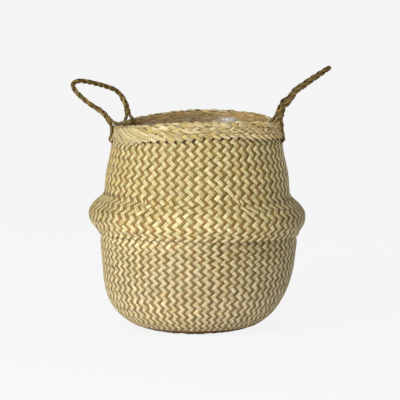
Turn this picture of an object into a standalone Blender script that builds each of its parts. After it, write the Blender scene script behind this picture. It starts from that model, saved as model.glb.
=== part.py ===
"""Belly basket of plaited seagrass, with a plaited rim, two rope handles and a clear film liner.

Lengths are in metres and +Z is up. The origin is on the floor, on the axis of the belly.
The front of the basket faces -Y, with one handle at -X and the other at +X.
The basket stands as it is used: the neck is pushed a little way into the bowl, and that fold is the belly.
"""

import math

import bmesh
import bpy
from mathutils import Vector

# Fabric and clearances
WALL = 0.004
GAP = 0.0003
SEAT_GAP = 0.0005
WALL_SEGMENTS = 60
SMALL = 0.00001

# Meridian of the woven body, on its outer face: each turn is placed from the one below it
FLOOR_RADIUS = 0.0735
CREASE_RADIUS = 0.1733
CREASE_HEIGHT = 0.1715
BELLY_OUT = 0.0162
BELLY_RISE = 0.0315
SHOULDER_IN = 0.0275
SHOULDER_RISE = 0.037
NECK_IN = 0.0132
NECK_RISE = 0.134
BELLY_RADIUS = CREASE_RADIUS + BELLY_OUT
BELLY_HEIGHT = CREASE_HEIGHT + BELLY_RISE
WAIST_RADIUS = BELLY_RADIUS - SHOULDER_IN
WAIST_HEIGHT = BELLY_HEIGHT + SHOULDER_RISE
NECK_RADIUS = WAIST_RADIUS - NECK_IN
RIM_HEIGHT = WAIST_HEIGHT + NECK_RISE

# Each pair is a share of the way out and a share of the way up, between the sizes above
BASE_SHARES = ((0.21, 0.015), (0.42, 0.077), (0.62, 0.169))
BOWL_SHARES = ((0.772, 0.292), (0.867, 0.426), (0.93, 0.60), (0.969, 0.816))
FLARE_SHARES = ((0.27, 0.17), (0.75, 0.5), (0.93, 0.72))
SHOULDER_SHARES = ((0.03, 0.16), (0.12, 0.30), (0.32, 0.50), (0.62, 0.70), (0.86, 0.84))
NECK_SHARES = ((0.08, 0.13), (0.20, 0.32), (0.54, 0.54), (0.87, 0.75))

# Rim: a plaited band folded over the wall's top edge
BAND_DEPTH = 0.036
BAND_OUTER_LEG = 0.0024
BAND_INNER_LEG = 0.002
BAND_INNER_DEPTH = 0.012
BAND_CROWN = 0.006
SCALLOPS = 60
SCALLOP_DEPTH = 0.004

# Liner: clear film that stands on the base and hangs inside the neck
FILM = 0.0006
FILM_WAIST_EASE = 0.009
FILM_TOP_DROP = 0.008

# Rope: each handle is two strands laid up together, and each root is a strand tied round the rim
STRAND_RADIUS = 0.0024
STRAND_RESOLUTION = 1
LAY_LENGTH = 0.027
POINTS_PER_LAY = 8
EYE_HEIGHT = 0.017
EYE_TIP_RADIUS = 0.003
EYE_RUNNING_GAP = 0.0009
FORK_LENGTH = 0.007
FORK_CLOSE = 0.014
HOLE_EASE = 0.0008

# Where each handle is tied, in degrees round the rim from +X, and how far its eyes lean outwards
LEFT_ROOTS_DEG = (190.0, 146.5)
LEFT_LEANS_DEG = (65.0, 10.0)
LEFT_REACH = 0.0595
LEFT_RISE = 0.0565
RIGHT_ROOTS_DEG = (-11.0, 15.0)
RIGHT_LEANS_DEG = (15.0, 15.0)
RIGHT_REACH = 0.0785
RIGHT_RISE = 0.0745

# The run of each handle: shares of the span between its eyes, of its reach and of its rise
LEFT_LOOP_SHARES = (
    (-0.002, 0.08, 0.07),
    (-0.014, 0.19, 0.16),
    (-0.048, 0.47, 0.36),
    (-0.045, 0.75, 0.60),
    (-0.02, 0.93, 0.82),
    (0.054, 0.99, 0.96),
    (0.208, 0.94, 1.00),
    (0.386, 0.79, 0.93),
    (0.576, 0.61, 0.80),
    (0.766, 0.42, 0.65),
    (0.905, 0.27, 0.50),
    (0.985, 0.15, 0.30),
    (1.0, 0.07, 0.14),
)
RIGHT_HALF_LOOP_SHARES = (
    (-0.03, 0.02, 0.12),
    (-0.067, 0.12, 0.27),
    (-0.09, 0.25, 0.41),
    (-0.095, 0.43, 0.55),
    (-0.055, 0.60, 0.69),
    (0.03, 0.78, 0.83),
    (0.20, 0.93, 0.955),
)
RIGHT_LOOP_SHARES = (
    RIGHT_HALF_LOOP_SHARES
    + ((0.5, 1.0, 1.0),)
    + tuple((1 - along, out, up) for along, out, up in reversed(RIGHT_HALF_LOOP_SHARES))
)

# Colours, roughness and how much light the film lets through
STRAW = (0.70, 0.58, 0.31, 1.0)
PALE_STRAW = (0.76, 0.66, 0.42, 1.0)
OLIVE_STRAW = (0.33, 0.27, 0.12, 1.0)
FILM_TINT = (0.90, 0.93, 0.95, 1.0)
STRAW_ROUGHNESS = 0.62
ROPE_ROUGHNESS = 0.75
FILM_ROUGHNESS = 0.12
FILM_TRANSMISSION = 0.9


def clear_scene():
    for obj in list(bpy.data.objects):
        bpy.data.objects.remove(obj, do_unlink=True)


def finish(name, colour, roughness, transmission=0.0):
    """A material with the piece's own colour."""
    material = bpy.data.materials.new(name)
    material.use_nodes = True
    shader = material.node_tree.nodes["Principled BSDF"]
    shader.inputs["Base Color"].default_value = colour
    shader.inputs["Roughness"].default_value = roughness
    shader.inputs["Metallic"].default_value = 0.0
    shader.inputs["Transmission Weight"].default_value = transmission
    material.diffuse_color = colour
    return material


def between(start, end, shares):
    """Points at shares of the way from start to end, then end itself."""
    (r0, z0), (r1, z1) = start, end
    return [(r0 + out * (r1 - r0), z0 + up * (z1 - z0)) for out, up in shares] + [end]


def inner_face(outer, depth):
    """The points of a meridian moved depth into the basket, along its normal at each point."""
    moved = []
    for index, (r, z) in enumerate(outer):
        r0, z0 = outer[max(index - 1, 0)]
        r1, z1 = outer[min(index + 1, len(outer) - 1)]
        length = math.hypot(r1 - r0, z1 - z0)
        moved.append((r - depth * (z1 - z0) / length, z + depth * (r1 - r0) / length))
    return moved


def shortened(points, start, end):
    """The same run of points with its first and last pulled in, which leaves the gap to the next piece."""
    ends = []
    for here, there, cut in ((points[0], points[1], start), (points[-1], points[-2], end)):
        length = math.hypot(there[0] - here[0], there[1] - here[1])
        share = cut / length
        ends.append((here[0] + share * (there[0] - here[0]), here[1] + share * (there[1] - here[1])))
    return [ends[0]] + points[1:-1] + [ends[1]]


def meridian():
    """The outer face of the whole woven body, from the floor to the top edge, and where each piece ends on it."""
    floor = (FLOOR_RADIUS, 0.0)
    crease = (CREASE_RADIUS, CREASE_HEIGHT)
    belly = (BELLY_RADIUS, BELLY_HEIGHT)
    waist = (WAIST_RADIUS, WAIST_HEIGHT)
    neck = (NECK_RADIUS, RIM_HEIGHT - BAND_DEPTH)
    outer = [floor] + between(floor, crease, BASE_SHARES + BOWL_SHARES)
    ends = {"base": len(BASE_SHARES), "lower_wall": len(outer) - 1}
    outer += between(crease, belly, FLARE_SHARES)
    ends["belly_flare"] = len(outer) - 1
    outer += between(belly, waist, SHOULDER_SHARES)
    ends["belly_shoulder"] = len(outer) - 1
    outer += between(waist, neck, NECK_SHARES)
    outer.append((NECK_RADIUS, wall_top()))
    ends["upper_wall"] = len(outer) - 1
    return outer, ends


def wall_top():
    """The wall's top edge, inside the fold of the rim band."""
    return RIM_HEIGHT - BAND_CROWN


def band_faces():
    """Radii of the rim band: outer face, inner face, and the two faces of its groove."""
    groove_outer = NECK_RADIUS + SEAT_GAP
    groove_inner = NECK_RADIUS - WALL - SEAT_GAP
    return groove_outer + BAND_OUTER_LEG, groove_inner - BAND_INNER_LEG, groove_outer, groove_inner


def turned(name, section, material, segments, touches_axis=False):
    """Turns a closed section of (radius, height) points into a solid round the Z axis."""
    shape = bmesh.new()
    corners = [shape.verts.new((r, 0.0, z)) for r, z in section]
    pairs = list(zip(corners, corners[1:]))
    if not touches_axis:
        pairs.append((corners[-1], corners[0]))
    edges = [shape.edges.new(pair) for pair in pairs]
    bmesh.ops.spin(
        shape, geom=corners + edges, cent=(0, 0, 0), axis=(0, 0, 1), angle=2 * math.pi, steps=segments
    )
    bmesh.ops.remove_doubles(shape, verts=shape.verts, dist=SMALL)
    bmesh.ops.recalc_face_normals(shape, faces=shape.faces)
    mesh = bpy.data.meshes.new(name)
    shape.to_mesh(mesh)
    shape.free()
    mesh.shade_smooth()
    mesh.set_sharp_from_angle(angle=math.radians(40))
    mesh.materials.append(material)
    obj = bpy.data.objects.new(name, mesh)
    bpy.context.collection.objects.link(obj)
    return obj


def floor_level(run, height):
    """A run that starts on the floor disc, with its first point put at the disc's own height."""
    return [(run[0][0], height)] + run[1:]


def make_woven_body(material):
    """The plaited body, split where it turns up, creases, bulges and turns back into the neck."""
    outer, ends = meridian()
    inner = floor_level(inner_face(outer, WALL), WALL)
    start = 0
    for name, end in ends.items():
        cuts = (GAP / 2 if start else 0.0, GAP / 2 if end < len(outer) - 1 else 0.0)
        outer_run = shortened(outer[start:end + 1], *cuts)
        inner_run = shortened(inner[start:end + 1], *cuts)
        section = outer_run + inner_run[::-1]
        if start == 0:
            section = [(0.0, 0.0)] + section + [(0.0, WALL)]
        turned(name, section, material, WALL_SEGMENTS, touches_axis=start == 0)
        start = end


def make_rim_band(material):
    """The plaited border: an upturned channel over the wall's edge, scalloped where its strips turn in."""
    outer, inner, groove_outer, groove_inner = band_faces()
    middle = (outer + inner) / 2
    half = (outer - inner) / 2
    low = RIM_HEIGHT - BAND_DEPTH
    inner_low = RIM_HEIGHT - BAND_INNER_DEPTH
    crown_base = RIM_HEIGHT - half
    ceiling = wall_top() + SEAT_GAP
    section = [(outer, low)]
    for turn in range(5):
        angle = math.pi * turn / 4
        section.append((middle + half * math.cos(angle), crown_base + half * math.sin(angle)))
    section += [
        (inner, inner_low),
        (groove_inner, inner_low),
        (groove_inner, ceiling),
        (groove_outer, ceiling),
        (groove_outer, low),
    ]
    band = turned("rim_band", section, material, 2 * SCALLOPS)
    for vertex in band.data.vertices:
        if vertex.co.z < low + SMALL:
            turn = math.atan2(vertex.co.y, vertex.co.x) * SCALLOPS
            vertex.co.z -= SCALLOP_DEPTH * (0.5 + 0.5 * math.cos(turn))
    return band


def make_liner(material):
    """The film bag: it stands on the base, follows the bowl, and crosses the belly to the neck."""
    woven, ends = meridian()
    outer = floor_level(inner_face(woven, WALL + GAP), WALL + GAP)[:ends["lower_wall"]]
    hang = band_faces()[1] - 2 * STRAND_RADIUS - 2 * GAP
    outer.append((WAIST_RADIUS - WALL - FILM_WAIST_EASE, WAIST_HEIGHT))
    outer.append((hang, RIM_HEIGHT - BAND_DEPTH))
    outer.append((hang, RIM_HEIGHT - FILM_TOP_DROP))
    inner = floor_level(inner_face(outer, FILM), WALL + GAP + FILM)
    section = [(0.0, WALL + GAP)] + outer + inner[::-1] + [(0.0, WALL + GAP + FILM)]
    return turned("liner", section, material, WALL_SEGMENTS, touches_axis=True)


class Handle:
    """Where one rope handle is tied: its two roots on the rim, its eyes, and the hinge through them."""

    def __init__(self, name, roots_deg, leans_deg, reach, rise, loop_shares):
        outer, inner = band_faces()[:2]
        self.name = name
        self.middle_radius = (outer + inner) / 2
        self.crown_height = RIM_HEIGHT - (outer - inner) / 2
        self.roots = []
        for degrees in roots_deg:
            turn = math.radians(degrees)
            radius = self.middle_radius
            self.roots.append(Vector((radius * math.cos(turn), radius * math.sin(turn), self.crown_height)))
        self.chord = (self.roots[1] - self.roots[0]).normalized()
        self.outward = Vector((self.chord.y, -self.chord.x, 0.0))
        if self.outward.dot(self.roots[0]) < 0:
            self.outward.negate()
        self.leans = [math.radians(degrees) for degrees in leans_deg]
        self.eyes = [root + EYE_HEIGHT * self.lean_direction(lean) for root, lean in zip(self.roots, self.leans)]
        self.axis = (self.eyes[1] - self.eyes[0]).normalized()
        self.centre = (self.eyes[0] + self.eyes[1]) / 2
        self.reach = reach
        self.rise = rise
        self.loop_shares = loop_shares

    def lean_direction(self, lean):
        return self.outward * math.sin(lean) + Vector((0, 0, math.cos(lean)))

    def leg_offset(self):
        """How far each leg of an eye stands from the root, where it just clears the band."""
        outer, inner = band_faces()[:2]
        skew = self.outward.angle(Vector((self.roots[0].x, self.roots[0].y, 0.0)))
        return ((outer - inner) / 2 + GAP + STRAND_RADIUS) / math.cos(skew)


def arc(centre, radius, start, end, steps):
    """Points on an arc of (out, up) offsets, both ends included."""
    points = []
    for step in range(steps + 1):
        angle = start + (end - start) * step / steps
        points.append((centre[0] + radius * math.cos(angle), centre[1] + radius * math.sin(angle)))
    return points


def hole_drop():
    """How far under the crown the strand passes through the wall, below the scallops."""
    outer, inner = band_faces()[:2]
    return BAND_DEPTH + SCALLOP_DEPTH - (outer - inner) / 2


def eye_outline(handle, lean):
    """The eye's route as (out, up) offsets from its root: round under the band, up, and out to a tip."""
    leg = handle.leg_offset()
    lean_angle = math.pi / 2 - lean
    tip_centre = (EYE_HEIGHT * math.cos(lean_angle), EYE_HEIGHT * math.sin(lean_angle))
    spread = math.acos((leg - EYE_TIP_RADIUS) / EYE_HEIGHT)
    outline = arc((0.0, -hole_drop()), leg, -math.pi, 0.0, 6)
    leaves = lean_angle - spread
    if leaves > 0:
        outline += arc((0.0, 0.0), leg, 0.0, leaves, 1)
    else:
        outline.append((leg, -leg * math.tan(-leaves)))
    outline += arc(tip_centre, EYE_TIP_RADIUS, leaves, lean_angle + spread, 5)
    outline += arc((0.0, 0.0), leg, lean_angle + spread, math.pi, 3)
    return outline


def strand(name, points, centre, material, closed):
    """A round strand of rope through the points, as a curve with its origin at centre."""
    curve = bpy.data.curves.new(name, "CURVE")
    curve.dimensions = "3D"
    curve.bevel_depth = STRAND_RADIUS
    curve.bevel_resolution = STRAND_RESOLUTION
    curve.use_fill_caps = not closed
    spline = curve.splines.new("POLY")
    spline.points.add(len(points) - 1)
    for knot, place in zip(spline.points, points):
        knot.co = (*(place - centre), 1.0)
    spline.use_cyclic_u = closed
    spline.use_smooth = True
    curve.materials.append(material)
    obj = bpy.data.objects.new(name, curve)
    obj.location = centre
    bpy.context.collection.objects.link(obj)
    return obj


def squared_to_axis(handle, place, tip, lean_direction):
    """A point of an eye, moved along the chord so that the eye's tip lies square to the handle's hinge."""
    leg = handle.leg_offset()
    root = tip - EYE_HEIGHT * lean_direction
    above_leg = ((place - root).dot(lean_direction) - leg) / (EYE_HEIGHT - leg)
    share = min(max(above_leg, 0.0), 1.0)
    off_square = (place - tip).dot(handle.axis) / handle.chord.dot(handle.axis)
    return place - share * off_square * handle.chord


def make_eyes(handle, material):
    """One closed strand at each root, tied through the wall and round the rim."""
    for place, root, lean in zip(("front", "back"), handle.roots, handle.leans):
        direction = handle.lean_direction(lean)
        tip = root + EYE_HEIGHT * direction
        route = []
        for out, up in eye_outline(handle, lean):
            knot = root + out * handle.outward + Vector((0, 0, up))
            route.append(squared_to_axis(handle, knot, tip, direction))
        strand(f"{handle.name}_{place}_eye", route, root, material, closed=True)


def cut_eye_hole(wall, handle):
    """The hole that each eye passes through the wall in, square to the handle's chord."""
    for place, root in zip(("front", "back"), handle.roots):
        leg = handle.leg_offset()
        bpy.ops.mesh.primitive_cylinder_add(
            vertices=12, radius=STRAND_RADIUS + HOLE_EASE, depth=2 * leg
        )
        cutter = bpy.context.object
        cutter.name = f"{handle.name}_{place}_hole_cutter"
        cutter.location = root - Vector((0, 0, hole_drop() + leg))
        cutter.rotation_mode = "QUATERNION"
        cutter.rotation_quaternion = handle.outward.to_track_quat("Z", "Y")
        cutter.hide_render = True
        cutter.display_type = "WIRE"
        cut = wall.modifiers.new(f"{handle.name} {place} hole", "BOOLEAN")
        cut.operation = "DIFFERENCE"
        cut.solver = "EXACT"
        cut.object = cutter


def smooth_route(knots, step):
    """Evenly spaced points on a smooth curve through the knots."""
    fine = []
    padded = [2 * knots[0] - knots[1]] + knots + [2 * knots[-1] - knots[-2]]
    for p0, p1, p2, p3 in zip(padded, padded[1:], padded[2:], padded[3:]):
        for part in range(20):
            t = part / 20
            fine.append(
                0.5 * (2 * p1 + (p2 - p0) * t + (2 * p0 - 5 * p1 + 4 * p2 - p3) * t ** 2
                       + (3 * p1 - p0 - 3 * p2 + p3) * t ** 3)
            )
    fine.append(knots[-1])
    run = [0.0]
    for a, b in zip(fine, fine[1:]):
        run.append(run[-1] + (b - a).length)
    count = round(run[-1] / step)
    route = []
    index = 0
    for number in range(count + 1):
        want = run[-1] * number / count
        while index < len(run) - 2 and run[index + 1] < want:
            index += 1
        share = (want - run[index]) / (run[index + 1] - run[index])
        route.append(fine[index].lerp(fine[index + 1], share))
    return route, run[-1]


def carried_frames(route, start_side):
    """A side direction at each point, carried along the route without twisting."""
    sides = []
    side = start_side
    for index, place in enumerate(route):
        before = route[max(index - 1, 0)]
        after = route[min(index + 1, len(route) - 1)]
        along = (after - before).normalized()
        side = (side - along * side.dot(along)).normalized()
        sides.append((side, along.cross(side)))
    return sides


def handle_route(handle, step):
    """The middle line of a handle, from eye to eye, running on past both by a strand's radius."""
    span = (handle.eyes[1] - handle.eyes[0]).length
    out = (handle.outward - handle.axis * handle.outward.dot(handle.axis)).normalized()
    up = handle.axis.cross(out)
    if up.z < 0:
        up.negate()
    knots = [handle.eyes[0]]
    for along_share, out_share, up_share in handle.loop_shares:
        knots.append(
            handle.eyes[0] + along_share * span * handle.axis
            + out_share * handle.reach * out + up_share * handle.rise * up
        )
    knots.append(handle.eyes[1])
    knots[0] = knots[0] + STRAND_RADIUS * (knots[0] - knots[1]).normalized()
    knots[-1] = knots[-1] + STRAND_RADIUS * (knots[-1] - knots[-2]).normalized()
    return smooth_route(knots, step)


def lay_offset(run, length):
    """How far each strand lies from the rope's middle: close on the rope, apart where it straddles an eye."""
    closed = (STRAND_RADIUS + GAP / 2) / math.cos(math.pi / POINTS_PER_LAY)
    apart = 2 * STRAND_RADIUS + EYE_RUNNING_GAP
    from_eye = min(run, length - run) - STRAND_RADIUS
    share = min(max((from_eye - FORK_LENGTH) / FORK_CLOSE, 0.0), 1.0)
    share = share * share * (3 - 2 * share)
    return apart + (closed - apart) * share


def make_handle(handle, material):
    """Two strands laid up together, forked at each end so that an eye runs between them."""
    route, length = handle_route(handle, LAY_LENGTH / POINTS_PER_LAY)
    sides = carried_frames(route, handle.axis)
    last_side, last_up = sides[-1]
    fork = STRAND_RADIUS + FORK_LENGTH
    laid = length - 2 * fork
    drift = math.atan2(handle.axis.dot(last_up), handle.axis.dot(last_side))
    half_turns = round((2 * math.pi * laid / LAY_LENGTH - drift) / math.pi)
    twist = half_turns * math.pi + drift
    for number in (0, 1):
        points = []
        for index, (place, (side, up)) in enumerate(zip(route, sides)):
            run = length * index / (len(route) - 1)
            angle = twist * min(max(run - fork, 0.0), laid) / laid + number * math.pi
            offset = lay_offset(run, length)
            points.append(place + offset * (side * math.cos(angle) + up * math.sin(angle)))
        strand(f"{handle.name}_strand_{number + 1}", points, handle.centre, material, closed=False)
    return length


def add_hinge_empty(name, centre):
    """An empty on a joint's axis, which the pieces that move on it are parented to."""
    empty = bpy.data.objects.new(name, None)
    empty.location = centre
    bpy.context.collection.objects.link(empty)
    return empty


def hang_on(empty, names):
    bpy.context.view_layer.update()
    for name in names:
        piece = bpy.data.objects[name]
        piece.parent = empty
        piece.matrix_parent_inverse = empty.matrix_world.inverted()


def build():
    clear_scene()
    straw = finish("woven straw", STRAW, STRAW_ROUGHNESS)
    pale_straw = finish("plaited rim straw", PALE_STRAW, STRAW_ROUGHNESS)
    rope = finish("twisted rope", OLIVE_STRAW, ROPE_ROUGHNESS)
    film = finish("clear film", FILM_TINT, FILM_ROUGHNESS, FILM_TRANSMISSION)

    make_woven_body(straw)
    make_rim_band(pale_straw)
    make_liner(film)

    handles = (
        Handle("left_handle", LEFT_ROOTS_DEG, LEFT_LEANS_DEG, LEFT_REACH, LEFT_RISE, LEFT_LOOP_SHARES),
        Handle("right_handle", RIGHT_ROOTS_DEG, RIGHT_LEANS_DEG, RIGHT_REACH, RIGHT_RISE, RIGHT_LOOP_SHARES),
    )
    slide = add_hinge_empty("belly_collapse_slide", Vector((0, 0, WAIST_HEIGHT)))
    upper_names = ["upper_wall", "rim_band"]
    for handle in handles:
        make_eyes(handle, rope)
        cut_eye_hole(bpy.data.objects["upper_wall"], handle)
        length = make_handle(handle, rope)
        upper_names += [f"{handle.name}_front_eye", f"{handle.name}_back_eye"]
        hinge = add_hinge_empty(f"{handle.name}_swing_hinge", handle.centre)
        hang_on(hinge, [f"{handle.name}_strand_1", f"{handle.name}_strand_2"])
        print(handle.name, "hinge at", [round(x, 6) for x in handle.centre])
        print(handle.name, "hinge along", [round(x, 6) for x in handle.axis], "rope between eyes", length)
    hang_on(slide, upper_names)
    hang_on(slide, [f"{handle.name}_swing_hinge" for handle in handles])


build()
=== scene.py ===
"""The dressed belly basket: a plaited body and border, laid rope handles and a crumpled film bag.

Lengths are in metres, +Z is up and the front faces -Y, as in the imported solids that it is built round.
A size named WOBBLE is a spread of chance about an even value, and one named RANGE its lowest and highest.
"""

import math
import random

import bpy
import numpy as np
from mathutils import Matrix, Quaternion, Vector


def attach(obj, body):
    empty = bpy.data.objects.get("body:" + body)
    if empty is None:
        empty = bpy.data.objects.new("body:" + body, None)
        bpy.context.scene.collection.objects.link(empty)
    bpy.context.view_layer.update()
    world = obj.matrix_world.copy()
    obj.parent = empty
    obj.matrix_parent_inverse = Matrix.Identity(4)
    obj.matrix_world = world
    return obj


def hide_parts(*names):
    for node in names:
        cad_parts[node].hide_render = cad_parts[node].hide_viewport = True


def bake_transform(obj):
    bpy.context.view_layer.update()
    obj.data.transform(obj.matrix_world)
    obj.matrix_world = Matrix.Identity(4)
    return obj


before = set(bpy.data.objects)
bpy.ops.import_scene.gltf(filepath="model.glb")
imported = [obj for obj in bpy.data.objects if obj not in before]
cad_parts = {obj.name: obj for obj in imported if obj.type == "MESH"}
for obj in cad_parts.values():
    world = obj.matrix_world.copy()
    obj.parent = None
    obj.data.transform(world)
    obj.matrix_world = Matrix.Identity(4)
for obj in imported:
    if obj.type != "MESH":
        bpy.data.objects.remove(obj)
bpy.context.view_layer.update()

SEED = 11

# Sizes shared with the solids: the woven body's meridian
WALL = 0.004
GAP = 0.0003
SEAT_GAP = 0.0005
FLOOR_RADIUS = 0.0735
CREASE_RADIUS = 0.1733
CREASE_HEIGHT = 0.1715
BELLY_RADIUS = 0.1895
BELLY_HEIGHT = 0.203
WAIST_RADIUS = 0.162
WAIST_HEIGHT = 0.240
NECK_RADIUS = 0.1488
RIM_HEIGHT = 0.374
BASE_SHARES = ((0.21, 0.015), (0.42, 0.077), (0.62, 0.169))
BOWL_SHARES = ((0.772, 0.292), (0.867, 0.426), (0.93, 0.60), (0.969, 0.816))
FLARE_SHARES = ((0.27, 0.17), (0.75, 0.5), (0.93, 0.72))
SHOULDER_SHARES = ((0.03, 0.16), (0.12, 0.30), (0.32, 0.50), (0.62, 0.70), (0.86, 0.84))
NECK_SHARES = ((0.08, 0.13), (0.20, 0.32), (0.54, 0.54), (0.87, 0.75))
BASE_END_HEIGHT = BASE_SHARES[-1][1] * CREASE_HEIGHT

# The rim band, which the border covers: its outer and inner faces, and the groove that the wall's edge sits in
BAND_DEPTH = 0.036
BAND_OUTER_LEG = 0.0024
BAND_INNER_LEG = 0.002
BAND_INNER_DEPTH = 0.012
BAND_CROWN = 0.006
SCALLOP_DEPTH = 0.004
GROOVE_OUTER = NECK_RADIUS + SEAT_GAP
GROOVE_INNER = NECK_RADIUS - WALL - SEAT_GAP
BAND_OUTER = GROOVE_OUTER + BAND_OUTER_LEG
BAND_INNER = GROOVE_INNER - BAND_INNER_LEG
BAND_HALF = (BAND_OUTER - BAND_INNER) / 2
BAND_MIDDLE = (BAND_OUTER + BAND_INNER) / 2

# The mouth is drawn down at the handles, and a little all round: how far, and how near the handle it keeps
SAG_EVEN = 0.0022
SAG_LEFT = (0.0165, 1.6)
SAG_RIGHT = (0.0115, 4.0)
SAG_HEIGHTS = (0.334, 0.366)
MOUTH_IN = 0.034
# The whole plait leans a little to one side and then to the other, by height, as the photograph's outline does
LEAN_HEIGHTS = (0.0, 0.020, 0.050, 0.085, 0.110, 0.165, 0.185, 0.200)
LEANS = (-0.0022, -0.0030, -0.0030, 0.0, 0.0020, 0.0030, 0.0012, 0.0)
FULL_LEAN_RADIUS = 0.05
# The belly hangs lower on the right
DROP_HEIGHTS = (0.100, 0.165, 0.225, 0.270)
DROPS = (0.0, 0.0046, 0.0046, 0.0)
# The border's lower edge wanders: degrees round from the front, and how far it stands above the solid's
EDGE_DEGREES = (-180, -110, -77, -56, -46, -38, -22, -14, -5, 5, 17, 30, 40, 50, 75, 120, 180)
EDGE_RISES = (
    0.002, 0.0, -0.002, -0.005, -0.003, 0.0, 0.0045, 0.0035, 0.0055, 0.0080, 0.0085, 0.0085, 0.006, 0.003, 0.002,
    0.002, 0.002,
)

# The weave: zigzags of light and dark strips, four crossings to a zigzag each way
CROSSINGS = 4
LOWER_COLUMNS = 68
UPPER_COLUMNS = 60
WEAVE_TURN_DEG = 3.0
# Where a zigzag runs out at the waist, in degrees round from +X, and over what width and run of the wall
DROPPED_DEG = (22, 70, 115, 160, 202, 233, 294, 340)
DROPPED_WIDTH = 0.12
DROP_RUN = 0.034
LOWER_TURN_DEG = -1.3
# Heights of the rows, in metres along the wall, up and down from the crease under the belly
ROWS_UP = (0.013, 0.016, 0.018, 0.0185, 0.0185) + (0.0164,) * 12
ROWS_DOWN = (0.0140, 0.0130, 0.0133, 0.0138, 0.0142, 0.0148, 0.0156, 0.0165) + (0.0170,) * 4
ROW_RUNS = np.concatenate([-np.cumsum(ROWS_DOWN)[::-1], [0.0], np.cumsum(ROWS_UP)])
ROW_NUMBERS = np.arange(-len(ROWS_DOWN), len(ROWS_UP) + 1)
ROW_SHIFT = -0.32
# The fold under the belly, and the tuck behind the border: how far, and over what run of the wall
FOLD_IN = 0.0034
FOLD_OUT = 0.0016
FOLD_BELOW_RUN = 0.020
FOLD_ABOVE_RUN = 0.010
FOLD_CURVE = 1.5
BORDER_TUCK = 0.0012
BORDER_TUCK_RUN = 0.033
BORDER_TUCK_START = 0.006
# Where the weave starts and ends, and the bottom's square plait
WEAVE_START_RADIUS = 0.078
WEAVE_END_RUN = 0.006
WEAVE_TOP = 0.3395
DARK_TOP = 0.3362
DISC_RADIUS = 0.079
DISC_CROSSING = 0.00417
# The topmost dark strips end short of the border, in crossings, and leave a gap
DARK_FLOAT_PITCH = 0.0082
DARK_SHORTER = 0.42
DARK_SHORTER_LEFT = 0.7
# A strip's width, ease and chance; the chance is larger low down, and largest where the plait is loose
LIGHT_WIDER = 0.26
STRIP_FILL = 0.96
CROWN_LIFT = 0.0003
INNER_CROWN = 0.0038
TONE_WOBBLE = 0.05
HUE_WOBBLE = 0.2
LIGHT_TONE = 0.955
INNER_DARK = (0.75, 0.2)
INNER_TONE = 1.24
TILT_WOBBLE_DEG = 1.8
DISC_TILT_WOBBLE_DEG = 1.5
NARROWER = 0.07
WIDEST = 1.03
SHIFT_WOBBLE = 0.05
LIFT_WOBBLE = 0.00009
FLOAT_LENGTH_RANGE = (0.97, 1.03)
LOW_LOOSENESS = 1.35
# The place where the plait is loosest: degrees round from the front, height, reach, and how loose
LOOSE_DEG = 13.0
LOOSE_HEIGHT = 0.150
LOOSE_REACH = 0.028
LOOSENESS = 2.6
# How far the plait wanders from its even rows: round the basket in radians, and up it in crossings
WANDER_TURN = 0.0032
WANDER_ROW = 0.16
# Light strips that skip a crossing: degrees round from the front, height, and length against the others
LONG_FLOATS = (
    (9.0, 0.262, 1.5), (21.0, 0.246, 1.6), (27.0, 0.232, 1.45), (33.0, 0.232, 1.4), (-21.0, 0.228, 1.4),
    (-37.0, 0.222, 1.5), (-9.0, 0.150, 1.4), (13.0, 0.142, 1.5),
)
LONG_FLOAT_REACH = 0.0085
LONG_FLOAT_LIFT = 0.0007
# The middle of the plait, painted dark as painted shade where it shows between the strips: its faces, its tones, and
# the paler bottom's heights and tones
CORE_OUTER = 0.0013
CORE_INNER = 0.0027
CORE_SHADE_TONE = 0.26
CORE_INNER_TONE = 0.75
CORE_HUE = 0.45
CORE_STEP = 0.004
CORE_FLOOR_HEIGHTS = (0.004, 0.02)
CORE_FLOOR_TONE = 0.7
CORE_MIDDLE_RADIUS = 0.0004
CORE_START_SHARE = 0.9

# Painted shadow under the fold of the belly: degrees round from the front, how wide, how far down, and how dark
SHADE_DEG = 35.0
SHADE_WIDTH_DEG = 26.0
SHADE_DEPTH = 0.034
SHADE = 0.42
# How pale the straw is painted by its height, at the front and back and at the sides, as painted light and shade, and
# where it turns greyer
TONE_HEIGHTS = (0.0, 0.045, 0.085, 0.150, 0.168, 0.190, 0.203, 0.235, 0.250, 0.374)
FRONT_PAINTED_LIGHT = (1.10, 1.07, 0.84, 0.82, 1.10, 1.10, 0.96, 0.97, 0.82, 0.83)
SIDE_PAINTED_LIGHT = (1.02, 1.00, 0.86, 0.85, 1.02, 0.92, 0.68, 0.72, 0.88, 0.90)
GREY_HEIGHTS = (0.10, 0.23)
# Dark strips are darker on the right and paler on the left, and the neck's light strips the other way round
DARK_PARTED = 0.2
LIGHT_PARTED = 0.1
# How dark a strip's dipping ends are painted, as painted shade under the crossing strips, and over what dip
PAINTED_END_SHADE = 0.3
END_DIPS = (0.0003, 0.0016)

# The border: its slats run down to the right, with short folded strips over them
BORDER_LIFT = 0.0001
BAND_ARC_STEPS = 12
LINING_RUN = 0.012
SLAT_SLOPE_DEG = 33.0
SLAT_HALF_WIDTH = 0.0031
SLAT_START = 0.25
SLAT_STAGGER = 0.0026
SLAT_LOW = 0.0092
SLAT_HIGH = 0.0480
SLAT_LIFT = 0.0004
SLAT_UNDER = 0.0005
SLAT_ROLL = -0.0006
# Each course of folds: how far up, its lean in degrees, half its length and width, its lift and its puff
FOLD_COURSES = (
    (0.0106, -36.0, 0.0084, 0.0037, 0.0018, 0.0006),
    (0.0178, 22.0, 0.0066, 0.0043, 0.0012, 0.0012),
    (0.0248, -30.0, 0.0090, 0.0040, 0.0014, 0.0010),
    (0.0318, 16.0, 0.0092, 0.0043, 0.0010, 0.0012),
    (0.0388, -22.0, 0.0104, 0.0044, 0.0012, 0.0012),
    (0.0462, -10.0, 0.0104, 0.0048, 0.0005, 0.0020),
)
TOP_COURSE = len(FOLD_COURSES) - 1
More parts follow.
